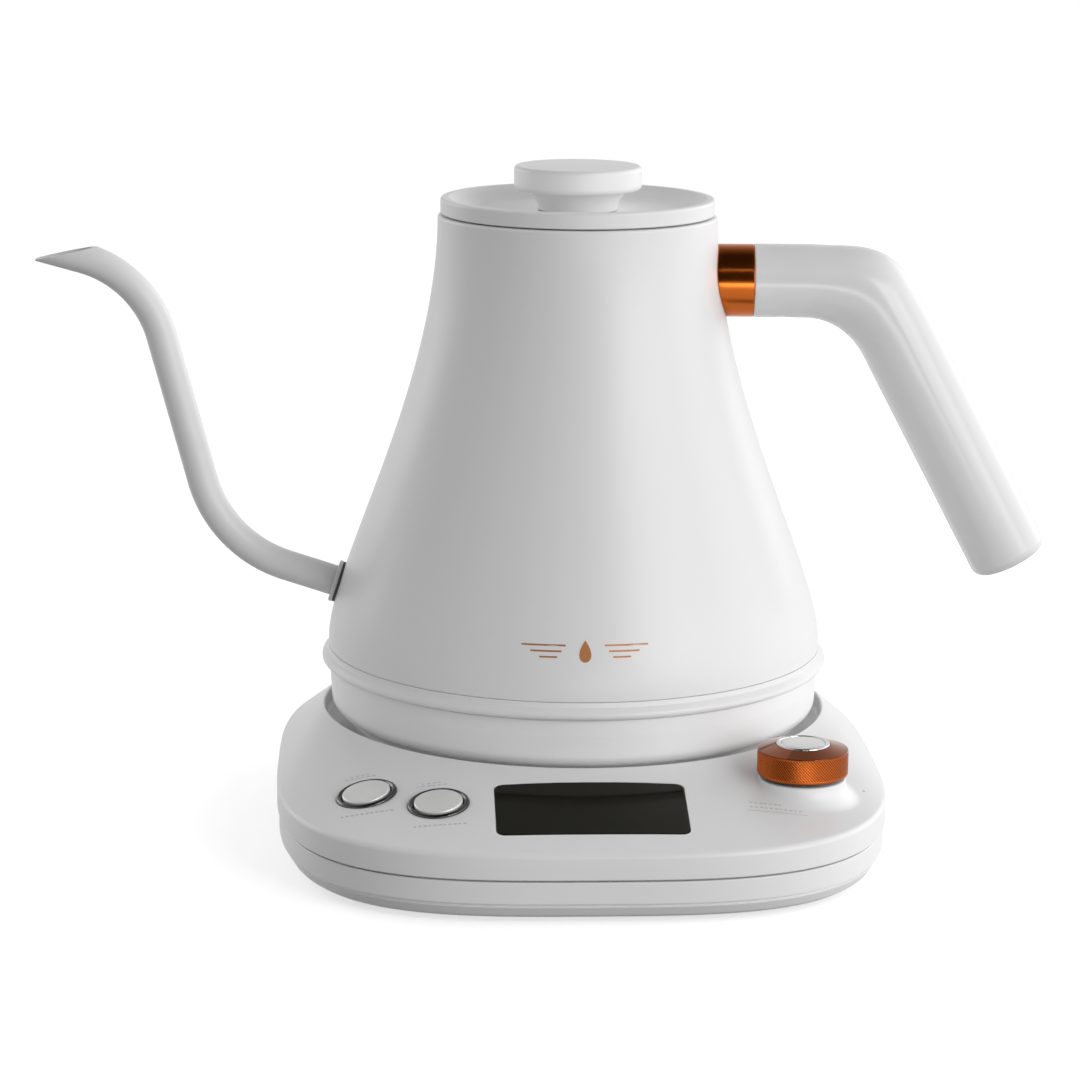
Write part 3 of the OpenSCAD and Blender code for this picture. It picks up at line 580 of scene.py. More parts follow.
def outer_wall(p):
    """Wall from its rounded parting edge to the shoulder's fillet: first ring, last ring, last outline."""
    shoulder_r, lowest, straight_z, blend, steps = 1.7, 1.9, 18.2, 0.35, 6
    foot = [(FOOT_IN, PARTING_Z), (0.5, PARTING_Z)] + arc(0.4, PARTING_Z + 0.4, 0.4, 250, 180, 3)
    rings = [p.ring(lifted(outline(THETA, inset), z)) for inset, z in foot]
    corner_z = np.maximum(SHOULDER_Z - SHOULDER_IN * np.tan(SLOPE), SHOULDER_Z - lowest)
    turn = math.pi / 2 - SLOPE
    centre_z = corner_z - shoulder_r * np.tan(turn / 2)
    rings.append(p.ring(lifted(outline(THETA, 0), np.minimum(centre_z, straight_z) - 0.6)))
    for k in range(steps + 1):
        a = turn * k / steps
        xy = outline(THETA, 0) - (shoulder_r * (1 - np.cos(a)))[:, None] * OUT
        rings.append(p.ring(lifted(xy, centre_z + shoulder_r * np.sin(a))))
    # the last ring lies on the panel itself
    xy = outline(THETA, 0) - (shoulder_r * (1 - np.cos(turn)) + blend)[:, None] * OUT
    rings.append(p.ring(lifted(xy, panel(xy))))
    p.stack(rings)
    return rings[0], rings[-1], xy


def drip_channel(p):
    """Round lip, channel, seat and its hole: first ring, last ring, first outline."""
    lip_r, blend = 0.45, 0.5
    centre_r = CHANNEL_R + lip_r
    lip_z = LIP_Z - (centre_r - LIP_R) * np.tan(SLOPE) - lip_r / np.cos(SLOPE)
    near = OUT * (centre_r + lip_r * np.sin(SLOPE) + blend)[:, None]
    rings = [p.ring(lifted(near, panel(near)))]
    for k in range(6):
        a = (math.pi / 2 - SLOPE) + (math.pi / 2 + SLOPE) * k / 5
        rings.append(p.ring(lifted(OUT * (centre_r + lip_r * np.cos(a))[:, None], lip_z + lip_r * np.sin(a))))
    for r, z in fillet([(CHANNEL_R, 29.5), (CHANNEL_R, CHANNEL_Z, 1.6), (SEAT_R, CHANNEL_Z, 1.6),
                        (SEAT_R, SEAT_Z, 0.6), (HOLE_R, SEAT_Z, 0.5), (HOLE_R, SEAT_UNDER)], 5):
        rings.append(p.ring(lifted(OUT * r, z)))
    p.stack(rings)
    return rings[0], rings[-1], near


def underside(p, seat_hole, foot):
    """The shell's inside, from the seat's hole to the block and from the wall to its foot. Returns the
    rings of the wall and the block, and their outlines."""
    wall = outline(THETA, WALL_IN)
    reach = np.interp(THETA, np.arctan2(wall[:, 1], wall[:, 0]), np.hypot(wall[:, 0], wall[:, 1]),
                      period=2 * math.pi)
    block = OUT * np.minimum(BLOCK_R, reach - 0.8)[:, None]
    levels = [(OUT * RECESS_R, SEAT_UNDER), (OUT * RECESS_R, RECESS_Z), (block, RECESS_Z),
              (block, panel(block) - PANEL_T)]
    rings = [p.ring(lifted(xy, z)) for xy, z in levels]
    p.stack([seat_hole] + rings)
    wall_ring = p.ring(lifted(wall, panel(wall) - PANEL_T))
    p.stack([wall_ring, p.ring(lifted(outline(THETA, FOOT_IN), 17.0)), foot])
    return wall_ring, rings[-1], wall, block


def display_well(p):
    """Pocket for the window. Returns its rim."""
    gap = 0.2
    n = ON_DISPLAY.to_3x3() @ Vector((0, 0, 1))
    walls = []
    for inset, depth in ((0, 0), (0.08, 0.05), (0.1, 0.2), (0.1, GLASS_T + 0.1)):
        w, d = DISPLAY_W + 2 * (gap - inset), DISPLAY_D + 2 * (gap - inset)
        loop = display_loop(w, d, DISPLAY_R + gap - inset)
        walls.append(p.ring(lifted(loop - np.array(n[:2]) * depth, panel(loop) - depth * n[2])))
    p.stack(walls)
    p.patch([walls[-1]], [], None)
    return walls[0]


def button_well(p, place):
    """Stepped hole for a button. Returns its upper and lower rims."""
    step_r = BEZEL_R - 0.9
    high, low = button_loop(place, BEZEL_R + 0.15), button_loop(place, step_r)
    rings = [p.ring(lifted(high, panel(high)))]
    for r, z in fillet([(BEZEL_R + 0.08, -0.1), (BEZEL_R + 0.05, -1.0, 0.1), (step_r, -1.0, 0.1),
                        (step_r, -2.2)], 2):
        rings.append(p.ring([(x, y, z) for x, y in circle(0, 0, r, 96)], place))
    rings.append(p.ring(lifted(low, panel(low) - PANEL_T)))
    p.stack(rings)
    return rings[0], rings[-1]


def dial_boss(p):
    """Flared boss round the dial's shaft. Returns its upper and lower rims."""
    def round_dial(r):
        return circle(DIAL_X, DIAL_Y, r, 160)

    rings = [p.ring(lifted(round_dial(BOSS_R), panel(round_dial(BOSS_R))))]
    for k in range(1, 15):
        a = math.pi / 2 * (1 - k / 14)
        xy = round_dial(BOSS_R - (BOSS_R - BOSS_TOP_R) * math.cos(a))
        rings.append(p.ring(lifted(xy, BOSS_SHOULDER + (panel(xy) - BOSS_SHOULDER) * math.sin(a))))
    for r, z in arc(BOSS_TOP_R - 0.6, BOSS_SHOULDER, 0.6, 10, 90, 5) + fillet(
            [(10.0, BOSS_Z), (SHAFT_HOLE_R, BOSS_Z, 0.3), (SHAFT_HOLE_R, ENCODER_Z), (ENCODER_R, ENCODER_Z),
             (ENCODER_R, ENCODER_Z - 1.4)], 3):
        rings.append(p.ring(lifted(round_dial(r), z)))
    low = round_dial(ENCODER_R)
    rings.append(p.ring(lifted(low, panel(low) - PANEL_T)))
    p.stack(rings)
    return rings[0], rings[-1]


def sound_hole(p):
    """Pin hole over the buzzer. Returns its upper and lower rims."""
    rings = []
    for r, drop in ((PIN_R + 0.12, 0), (PIN_R, 0.12), (PIN_R, PANEL_T)):
        xy = circle(PIN_X, PIN_Y, r, 24)
        rings.append(p.ring(lifted(xy, panel(xy) - drop)))
    p.stack(rings)
    return rings[0], rings[-1]


def panel_fill(start, end, inner_loops):
    """Points for the panel's upper face: along its rulings from start to end, and round each well."""
    rows = [start + (end - start) * s for s in np.linspace(0, 1, 17)[1:-1]]
    rows = np.concatenate([row[i % 2::2] for i, row in enumerate(rows)])
    wells = [[display_loop(DISPLAY_W + 2 * g, DISPLAY_D + 2 * g, DISPLAY_R + g) for g in (1.0, 2.2)]]
    wells += [[button_loop(place, BEZEL_R + g, 72) for g in (0.9, 2.0)] for place in BUTTONS.values()]
    wells.append([circle(DIAL_X, DIAL_Y, BOSS_R + g, 120) for g in (0.7, 1.7)])
    wells.append([circle(PIN_X, PIN_Y, PIN_R + 0.6, 18)])
    keep = np.ones(len(rows), bool)
    for loops in wells:
        keep &= ~inside(rows, loops[-1])
    fill = np.concatenate([rows[keep]] + [loop for loops in wells for loop in loops])
    apart = np.hypot(fill[:, 0] - DIAL_X, fill[:, 1] - DIAL_Y) > BOSS_R + 0.4
    apart &= inside(fill, start) & ~inside(fill, end)
    for loop in inner_loops:
        apart &= ~inside(fill, loop)
    return fill[apart]


def base_top():
    """Upper shell: wall, sloping panel with its wells and boss, drip channel and the kettle's seat."""
    p = Piece()
    foot, edge, edge_xy = outer_wall(p)
    lip, seat_hole, lip_xy = drip_channel(p)
    wall_in, block, wall_xy, block_xy = underside(p, seat_hole, foot)
    holes = [display_well(p)]
    under_holes = []
    for high, low in [button_well(p, place) for place in BUTTONS.values()] + [dial_boss(p), sound_hole(p)]:
        holes.append(high)
        under_holes.append(low)

    def flat(ring):
        return np.array(p.points)[ring, :2]

    fill = panel_fill(edge_xy, lip_xy, [flat(hole) for hole in holes])
    first = len(p.points)
    p.patch([edge, lip] + holes, fill, panel)
    top = edge + lip + [i for hole in holes for i in hole] + list(range(first, len(p.points)))
    given = dict(zip(top, panel(flat(top), True)[1]))
    coarse = np.concatenate([edge_xy + (lip_xy - edge_xy) * s for s in (0.25, 0.5, 0.75)])[::2]
    keep = inside(coarse, wall_xy) & ~inside(coarse, block_xy * 1.01)
    for hole in under_holes:
        keep &= ~inside(coarse, flat(hole))
    p.patch([wall_in, block] + under_holes, coarse[keep], lambda xy: panel(xy) - PANEL_T, up=False)
    p.make("base_top", "base", "white_shell", ["base_top_shell"], normals=given, cut=[cord_opening()])


def base_bottom():
    """Lower shell: a bevelled foot, a shadow groove and a band, with wells for pads and screws."""
    p = Piece()
    theta = outline_angles(360)
    bottom, floor = 1.7, 3.9
    profile = fillet([(5.2, bottom), (4.4, bottom, 0.5), (3.0, 2.6, 1.5), (1.2, 5.4, 0.5), (1.7, 5.5, 0.15),
                      (1.7, 6.25, 0.15), (0.6, 6.25, 0.3), (0.6, 12.6, 0.35), (2.6, 12.6, 0.2),
                      (2.6, 14.8, 0.3), (4.6, 14.8, 0.3), (4.6, floor)], 4)
    rings = [p.ring(lifted(outline(theta, inset), z)) for inset, z in profile]
    p.stack(rings)

    def well(x, y, steps, count):
        made = [p.ring(lifted(circle(x, y, r, count), z)) for r, z in steps]
        p.stack(made)
        return made

    wells, tops = [], []
    for x, y, r in [(x, y, 7.2) for x in (-57, 57) for y in (-93, 50)] + [(0, 0, 14.2)]:
        pad = well(x, y, ((r + 0.2, bottom), (r, bottom + 0.2), (r, 2.4)), 64)
        p.face(pad[-1])
        wells.append(pad[0])
    counterbore = ((3.6, bottom), (3.4, bottom + 0.2), (3.4, 4.4), (1.8, 4.4), (1.8, 6.3), (5.2, 6.3),
                   (5.2, floor))
    low, high = box_mm("base_screws")
    front = [SCREW_CIRCLE * math.cos(math.radians(a)) for a in (245.6, 294.4)]
    for x in [low[0] + 3, high[0] - 3] + front:
        y = math.sqrt(SCREW_CIRCLE**2 - x * x) * (1 if abs(x) > 40 else -1)
        screw = well(x, y, counterbore, 40)
        wells.append(screw[0])
        tops.append(screw[-1])
    p.patch([rings[0]] + wells, [], None, up=False)
    p.patch([rings[-1]] + tops, [], None)
    p.make("base_bottom", "base", "white_shell", ["base_bottom_shell"], cut=[cord_opening()])


def display_window():
    """Smoked glass let into the panel, with a softly rounded edge."""
    p = Piece()
    n = ON_DISPLAY.to_3x3() @ Vector((0, 0, 1))
    r, margin = 0.35, 2
    rings = []
    for inset, drop in [(0.0, GLASS_T)] + [
            (r * (1 - math.cos(a)), r * (1 - math.sin(a))) for a in np.linspace(0, math.pi / 2, 6)]:
        loop = display_loop(DISPLAY_W - 2 * inset, DISPLAY_D - 2 * inset, DISPLAY_R - inset)
        rings.append(p.ring(lifted(loop - np.array(n[:2]) * drop, panel(loop) - drop * n[2])))
    p.stack(rings)
    across = np.linspace(-DISPLAY_W / 2 + margin, DISPLAY_W / 2 - margin, 40)
    deep = np.linspace(-DISPLAY_D / 2 + margin, DISPLAY_D / 2 - margin, 16)
    inner = np.array([(ON_DISPLAY @ Vector((x, y, 0)))[:2] for x in across for y in deep])
    first = len(p.points)
    p.patch([rings[-1]], inner, panel)
    top = rings[-1] + list(range(first, len(p.points)))
    given = dict(zip(top, panel(np.array(p.points)[top, :2], True)[1]))
    p.face(rings[0][::-1])
    p.make("display_window", "base", "display_black", ["display_glass"], normals=given)


def buttons():
    """A dark chrome bezel and a silver cap with its stem, on each side."""
    gap, stem_r, bezel_in, cap_under = 0.3, 1.6, BEZEL_R - 0.95, -2.0
    for side, place in BUTTONS.items():
        ring = fillet([(CAP_R + gap, -3.6), (bezel_in, -3.6), (bezel_in, -0.95, 0.15), (BEZEL_R, -0.95, 0.1),
                       (BEZEL_R, 0.3, 0.4), (BEZEL_R - 0.75, BEZEL_TOP, 0.35), (CAP_R + gap, 0.1, 0.15)],
                      4, closed=True)
        turned("bezel_ring_" + side, "base", "dark_chrome", ["bezel_" + side], ring, place=place)
        stem = -box_drop("button_cap_" + side, place)
        dome = [(CAP_R * (1 - k / 12) * 0.86, 1.06 + 0.19 * math.sin(math.pi / 2 * k / 12))
                for k in range(13)]
        dome[-1] = (0, dome[-1][1])
        cap = fillet([(stem_r - 0.2, stem), (stem_r, stem, 0.2), (stem_r, cap_under, 0.2),
                      (CAP_R, cap_under, 0.3), (CAP_R, 1.0, 0.55), dome[0]], 6)
        turned("button_top_" + side, "button_" + side, "silver_cap", ["button_cap_" + side],
               [(0, stem)] + cap + dome[1:], place=place)


def box_drop(node, place):
    """How far a node reaches below a placed plane."""
    n = place.to_3x3() @ Vector((0, 0, 1))
    points = np.array([v.co for v in NODES[node].data.vertices]) / MM - np.array(place.translation)
    return -float((points @ np.array(n)).min())


def knurled_wall(ring, r, z0, z1, starts=100, per_start=5, deep=0.26, shallow=0.05):
    """Rings of a wall with deep grooves one way and shallow ones across, fading out at both ends."""
    column = np.arange(starts * per_start)
    step = 2 * math.pi * r / len(column) * 1.05
    rows = int((z1 - z0) / step)
    wall = []
    for j in range(rows + 1):
        right = ((column + j) % per_start) / per_start
        left = ((column - j) % per_start) / per_start
        dip = deep * abs(1 - 2 * right) + shallow * abs(1 - 2 * left)
        fade = min(1.0, j / 2, (rows - j) / 2)
        wall.append(ring(r - dip * fade - 0.1 * (1 - fade), z0 + (z1 - z0) * j / rows))
    # paints shade into the grooves of the knurl's copper, darkest at the groove bottoms
    paint_groove_shade(LOOK["knurl_copper"], (DIAL_X, DIAL_Y), r - deep * 0.85 - shallow, r - deep * 0.25, 0.12)
    return wall


def dial():
    """Knurled dial with a polished cone, a chrome ring and a silver cap."""
    low, high = box_mm("dial_knob")
    r, z0, top = (high[0] - low[0]) / 2, low[2], high[2]
    edge_z, under = top - 1.4, top - 1.6
    ring_r, shaft_r, cap_r = 7.6, 2.95, 6.2
    p = Piece()
    count = 500
    a = np.arange(count) * 2 * math.pi / count

    def ring(radius, z):
        xy = [DIAL_X + radius * np.cos(a), DIAL_Y + radius * np.sin(a)]
        return p.ring(np.column_stack(xy + [np.full(count, z)]))

    lower = [(shaft_r, under), (shaft_r, z0 + 2.4), (4.8, z0 + 2.4), (4.8, z0 + 0.3), (11, z0 + 0.3),
             (11, z0)] + arc(r - 0.75, z0 + 0.65, 0.65, 270, 345, 6)
    rings = [ring(q, z) for q, z in lower]
    wall = knurled_wall(ring, r, z0 + 0.75, edge_z - 0.35)
    upper = [ring(q, z) for q, z in fillet([(r - 0.12, edge_z - 0.35), (r - 0.12, edge_z, 0.35),
                                            (ring_r + 0.1, top - 0.02, 0.12), (ring_r + 0.1, under)], 5)[1:]]
    p.stack(rings + [wall[0]])
    for j, (one, two) in enumerate(zip(wall, wall[1:])):
        for i in range(count):
            k = (i + 1) % count
            if (i + j) % 2:
                p.face((one[i], one[k], two[i]))
                p.face((one[k], two[k], two[i]))
            else:
                p.face((one[i], one[k], two[k]))
                p.face((one[i], two[k], two[i]))
    p.kind = 1
    p.stack([wall[-1]] + upper + [rings[0]])
    # the cone's surface carries a painted dark reflection in its base colour
    p.make("dial_grip", "dial", "copper", ["dial_knob"], ["knurl_copper", "cone_copper_painted_dark"])
    trim = fillet([(cap_r + 0.08, under), (ring_r, under), (ring_r, top + 0.38, 0.5),
                   (cap_r + 0.08, top + 0.38, 0.3)], 6)
    turned("dial_trim", "dial", "bright_chrome", ["dial_ring"], trim, centre=(DIAL_X, DIAL_Y))
    cap_top = top + 0.6
    dome = [(cap_r * 0.93 * (1 - k / 10), cap_top - 0.22 * (1 - k / 10) ** 2) for k in range(11)]
    dome[-1] = (0, cap_top)
    cap = fillet([(cap_r - 0.2, under), (cap_r, under, 0.1), (cap_r, top + 0.2, 0.3), dome[0]], 5)
    turned("dial_top_cap", "dial", "silver_cap", ["dial_cap"], [(0, under)] + cap + dome[1:],
           centre=(DIAL_X, DIAL_Y))


# ---------------------------------------------------------------- kettle

body_low, body_high = box_mm("body_shell")
MOUTH_Z = body_high[2]
SEAM_Z = body_low[2]
NECK_R, BODY_R, BODY_T, MOUTH_R = 41.2, 73.65, 1.0, 37.5


def body_curve(inset=0.0, count=72):
    """The body's side as (r, z) points, seam to mouth, drawn in by inset."""
    ends = ((BODY_R, 50), (BODY_R + 2.05, 69.5), (NECK_R - 0.2, 126), (NECK_R, 179))
    return bezier(ends, np.linspace(0, 1, count + 1)) - [inset, 0]


FINE_SIDE = body_curve(count=2000)


def body_r(z):
    return np.interp(z, FINE_SIDE[:, 1], FINE_SIDE[:, 0])


def to_surface(start, way, inset=0.0):
    """Distance from start along way to the body's outer surface, drawn in by inset."""
    start, way = np.array(start, float), np.array(way, float)
    low, high = 0.0, 40.0
    for _ in range(40):
        middle = (low + high) / 2
        x, y, z = start + way * middle
        if math.hypot(x, y) < body_r(z) - inset:
            low = middle
        else:
            high = middle
    return low


def body():
    """Steel body, painted outside, with a rolled mouth and a hole for the spout."""
    outer = [tuple(q) for q in body_curve() if SEAM_Z + 0.5 < q[1] < MOUTH_Z - 1.0]
    inner = [tuple(q) for q in body_curve(BODY_T)[::-1] if SEAM_Z + 1.2 < q[1] < MOUTH_Z - 1.6]
    low = [(70, SEAM_Z + 1)] + fillet([(70, SEAM_Z), (BODY_R, SEAM_Z, 0.2), outer[0]], 4)[:-1]
    lip = fillet([outer[-1], (NECK_R, MOUTH_Z, 0.85), (MOUTH_R, MOUTH_Z, 0.6), (MOUTH_R, MOUTH_Z - 10, 0.4),
                  (MOUTH_R + 0.9, MOUTH_Z - 10, 0.4), (MOUTH_R + 0.9, MOUTH_Z - 1.2, 0.3), inner[0]], 5)
    profile = low + outer[:-1] + lip[:-1] + inner
    steel_from = len(low) + len(outer) + 8
    p = Piece()
    p.spin(profile, 288, ON_KETTLE, kinds=lambda i: 1 if i >= steel_from else 0)
    bore = Piece()
    bore.spin([(0, 0), (SPOUT_R + 0.05, 0), (SPOUT_R + 0.05, 14), (0, 14)], 64,
              ON_KETTLE @ spout_root(), closed=False)
    p.make("kettle_body", "kettle", "white_paint", ["body_shell"], ["paint", "steel"], cut=[bore])


def trim():
    """Moulded ring round the seam, with a bead that stands proud of the body."""
    bead = arc(74.3, 46.6, 1.4, -72, 44, 10)
    back_r, low_z, high_z = 71.6, 45.25, SEAM_Z - 0.08
    under = fillet([(73.2, low_z), (74.4, low_z, 0.25), bead[1]], 3)
    over = fillet([bead[-1], (74.5, 48.2, 0.5), (73.95, 48.6, 0.5), (73.8, high_z, 0.12),
                   (back_r, high_z)], 4)
    turned("seam_ring", "kettle", "white_shell", ["trim_ring"],
           [(back_r, low_z)] + under[1:] + bead[2:-1] + over[1:], 288)


def lid():
    """Dished lid, and its knob on a flared neck."""
    low, high = box_mm("lid_cap")
    r, z0, z1 = high[0], low[2], high[2]
    dish, bore_r, neck_r = z0 + 0.9, 2.2, 11.6
    top = fillet([(bore_r, z0), (r, z0, 0.5), (r, z1, 0.9), (r - 2.4, z1, 0.5), (r - 4.4, z1 - 1.3, 4),
                  (r - 9.5, dish, 9), (11.5, dish), (bore_r, dish)], 8)
    turned("lid_top", "lid", "white_paint", ["lid_cap"], top, 288)
    low, high = box_mm("lid_knob")
    r, top = high[0], high[2]
    under, seat = top - 7.4, dish + 0.02
    flare = bezier([(neck_r, dish + 0.6), (11.9, dish + 3.0), (13.4, under - 1.2), (14.9, under - 0.1)],
                   np.linspace(0.08, 1, 12))
    neck = [(neck_r, seat), (neck_r, dish + 0.6)] + [tuple(q) for q in flare]
    crown = [(r * 0.86 * (1 - k / 14), top - 0.35 * (1 - k / 14) ** 2) for k in range(15)]
    crown[-1] = (0, top)
    edge = fillet([neck[-1], (r, under, 1.6), (r, top - 0.3, 2.0), crown[0]], 8)
    screw_r, screw_top = 2.05, dish + 8
    turned("lid_grip", "lid", "white_shell", ["lid_knob"],
           [(0, screw_top), (screw_r, screw_top), (screw_r, seat)] + neck[:-1] + edge[:-1] + crown, 192)


# spout: a straight root, a bend up, a long rise, a bend out and a straight tip, in the kettle's XZ plane
SPOUT_R, SPOUT_T = 4.6, 0.7
ROOT_TILT, RISE_TILT, TIP_TILT = math.radians(17.5), math.radians(75), math.radians(15)
ROOT = np.array([-64.0, 67.3 - 6.4 * math.tan(ROOT_TILT)])
# the centre line's legs: length, and bend radius (positive upwards)
LOWER_R, UPPER_R = 37.3, 32.5
LEGS = [(23.7, 0), (LOWER_R * (RISE_TILT - ROOT_TILT), LOWER_R), (45, 0),
        (UPPER_R * (RISE_TILT - TIP_TILT), -UPPER_R), (40, 0)]


def spout_root():
    place = Matrix.Rotation(ROOT_TILT - math.pi / 2, 4, "Y")
    place.translation = (ROOT[0], 0, ROOT[1])
    return place


def along(s):
    """Centre and tilt at the length s along the spout."""
    p, tilt = ROOT, ROOT_TILT
    for length, r in LEGS:
        step = min(s, length)
        if r:
            after = tilt + step / r
            p = p + r * np.array([math.sin(tilt) - math.sin(after), math.cos(tilt) - math.cos(after)])
            tilt = after
        else:
            p = p + step * np.array([-math.cos(tilt), math.sin(tilt)])
        s -= step
        if s <= 0:
            break
    return p, tilt


def spout():
    """Tube from the body's wall to a slanted cut with a round lip."""
    sides = 64
    p = Piece()
    around = np.arange(sides) * 2 * math.pi / sides
    cut_x, cut_z, cut_tilt = -160.0, 164.4, math.radians(12)

    def spot(s, r, k):
        centre, tilt = along(s)
        return (centre[0] + r * math.cos(k) * math.sin(tilt), r * math.sin(k),
                centre[1] + r * math.cos(k) * math.cos(tilt))

    def cut_at(r, k):
        """Length along the spout where the slanted cut takes off a line of the tube."""
        low, high = 100.0, 190.0
        for _ in range(40):
            middle = (low + high) / 2
            x, y, z = spot(middle, r, k)
            if z - cut_z - math.tan(cut_tilt) * (x - cut_x) < 0 and x > cut_x:
                low = middle
            else:
                high = middle
        return low

    def tube(r, ends):
        way = (-math.cos(ROOT_TILT), 0, math.sin(ROOT_TILT))
        starts = [to_surface(spot(0, r, k), way, BODY_T - 0.02) for k in around]
        rings = [[spot(s, r, k) for k, s in zip(around, starts)]]
        last = ends.min() - 0.8
        rings += [[spot(s, r, k) for k in around] for s in np.linspace(9, last, 84)]
        rings += [[spot(last + (e - last) * share, r, k) for k, e in zip(around, ends)]
                  for share in np.linspace(0, 1, 15)[1:]]
        return rings

    lip = 0.22
    turns = np.linspace(0, math.pi, 7)
    outer_r, wall = SPOUT_R, SPOUT_T
    radii = outer_r - wall / 2 + wall / 2 * np.cos(turns)
    cuts = [np.array([cut_at(r, k) for k in around]) - lip + lip * math.sin(t) for r, t in zip(radii, turns)]
    outer, inner = tube(outer_r, cuts[0]), tube(outer_r - wall, cuts[-1])
    rim = [[spot(e, r, k) for k, e in zip(around, cut)] for r, cut in zip(radii[1:-1], cuts[1:-1])]
    p.stack([p.ring(q, ON_KETTLE) for q in outer + rim + inner[::-1]], closed=True, flip=True)
    p.make("spout", "kettle", "white_paint", ["spout_tube"])


def spout_washer():
    bore_r, washer_r, back, front = SPOUT_R + 0.03, 6.4, 7.52, 8.7
    washer = fillet([(bore_r, back), (washer_r, back, 0.25), (washer_r, front, 0.5),
                     (bore_r, front, 0.15)], 5)
    turned("spout_washer", "kettle", "white_paint", ["spout_flange"], washer, 96, ON_KETTLE @ spout_root())


# handle
HANDLE_Z = 159.8
HANDLE_R, GRIP_R = 10.85, 11.65
COLLAR_END, CORNER_X, BEND_IN, GRIP_LEN = 52.0, 86.4, 19.0, 94.92
GRIP_TILT = math.radians(62)


def collar():
    """Copper sleeve from the body to the grip, saddle-cut to the body."""
    p = Piece()
    r, bore = HANDLE_R - 0.1, 7.0
    around = np.arange(160) * 2 * math.pi / 160

    def ring(radius, share, shift=0.0):
        points = []
        for k in around:
            y, z = radius * math.sin(k), HANDLE_Z + radius * math.cos(k)
            near = math.sqrt(body_r(z) ** 2 - y * y) + 0.03
            points.append((near + (COLLAR_END - near) * share + shift, y, z))
        return p.ring(points, ON_KETTLE)

    rings = [ring(bore, 0), ring(r - 0.3, 0), ring(r - 0.09, 0, 0.09), ring(r, 0, 0.3)]
    rings += [ring(r, share) for share in (0.2, 0.4, 0.6, 0.8)]
    rings += [ring(r, 1, -0.25), ring(r - 0.08, 1, -0.08), ring(r - 0.25, 1), ring(bore, 1)]
    p.stack(rings, closed=True, flip=True)
    p.make("collar", "kettle", "copper", ["handle_collar"])


def grip():
    """Coated grip: level, a bend that is fuller outside, and a slope with a rounded end."""
    big, edge_r, swell_most = BEND_IN / math.tan(GRIP_TILT / 2), 0.5, 1.6
    start = np.array([CORNER_X - BEND_IN, HANDLE_Z])
    sections = []
    for k in range(5):
        a = math.pi / 2 * k / 4
        sections.append(((COLLAR_END + edge_r * (1 - math.cos(a)), HANDLE_Z), 0,
                         HANDLE_R - edge_r * (1 - math.sin(a)), 0))
    sections += [((x, HANDLE_Z), 0, HANDLE_R, 0) for x in np.linspace(COLLAR_END + 2, start[0], 8)[:-1]]
    for u in np.linspace(0, 1, 49):
        h = GRIP_TILT * u
        swell = swell_most * math.sin(math.pi * u) ** 3
        outward = np.array([math.sin(h), math.cos(h)])
        centre = start + big * (outward - (0, 1)) + swell * outward
        r = HANDLE_R + (GRIP_R - HANDLE_R) * u * u * (3 - 2 * u)
        sections.append((centre, h, r, swell))
    stop = start + big * np.array([math.sin(GRIP_TILT), math.cos(GRIP_TILT) - 1])
    down = np.array([math.cos(GRIP_TILT), -math.sin(GRIP_TILT)])
    length, end_r = GRIP_LEN - BEND_IN, 3.2
    sections += [(stop + down * l, GRIP_TILT, GRIP_R, 0) for l in np.linspace(0, length - end_r, 16)[1:-1]]
    for k in range(9):
        a = math.pi / 2 * k / 8
        sections.append((stop + down * (length - end_r * (1 - math.sin(a))), GRIP_TILT,
                         GRIP_R - end_r * (1 - math.cos(a)), 0))
    for share in (0.75, 0.5, 0.25):
        sections.append((stop + down * length, GRIP_TILT, (GRIP_R - end_r) * share, 0))
    p = Piece()
    sides = 96
    around = np.arange(sides) * 2 * math.pi / sides
    bore, bore_end = 7.0, 72.5
    rings = [p.ring([(x, bore * math.sin(k), HANDLE_Z + bore * math.cos(k)) for k in around], ON_KETTLE)
             for x in (bore_end, COLLAR_END)]
    for centre, h, r, swell in sections:
        deep = r + swell
        rings.append(p.ring([(centre[0] + deep * math.cos(k) * math.sin(h), r * math.sin(k),
                              centre[1] + deep * math.cos(k) * math.cos(h)) for k in around], ON_KETTLE))
    p.stack(rings, flip=True)
    tip = p.ring([(stop[0] + down[0] * length, 0, stop[1] + down[1] * length)], ON_KETTLE)[0]
    back = p.ring([(bore_end, 0, HANDLE_Z)], ON_KETTLE)[0]
    p.fan(rings[-1], tip, flip=True)
    p.fan(rings[0], back)
    well_x = 61  # over the handle's screw
    well = Piece()
    well.spin([(0, 140), (3.6, 140), (3.6, 151), (2.2, 151), (2.2, 153.5), (0, 153.5)], 64,
              ON_KETTLE @ Matrix.Translation((well_x, 0, 0)), closed=False)
    p.make("grip", "kettle", "white_grip", ["handle_grip"], cut=[well])


# ---------------------------------------------------------------- printed marks


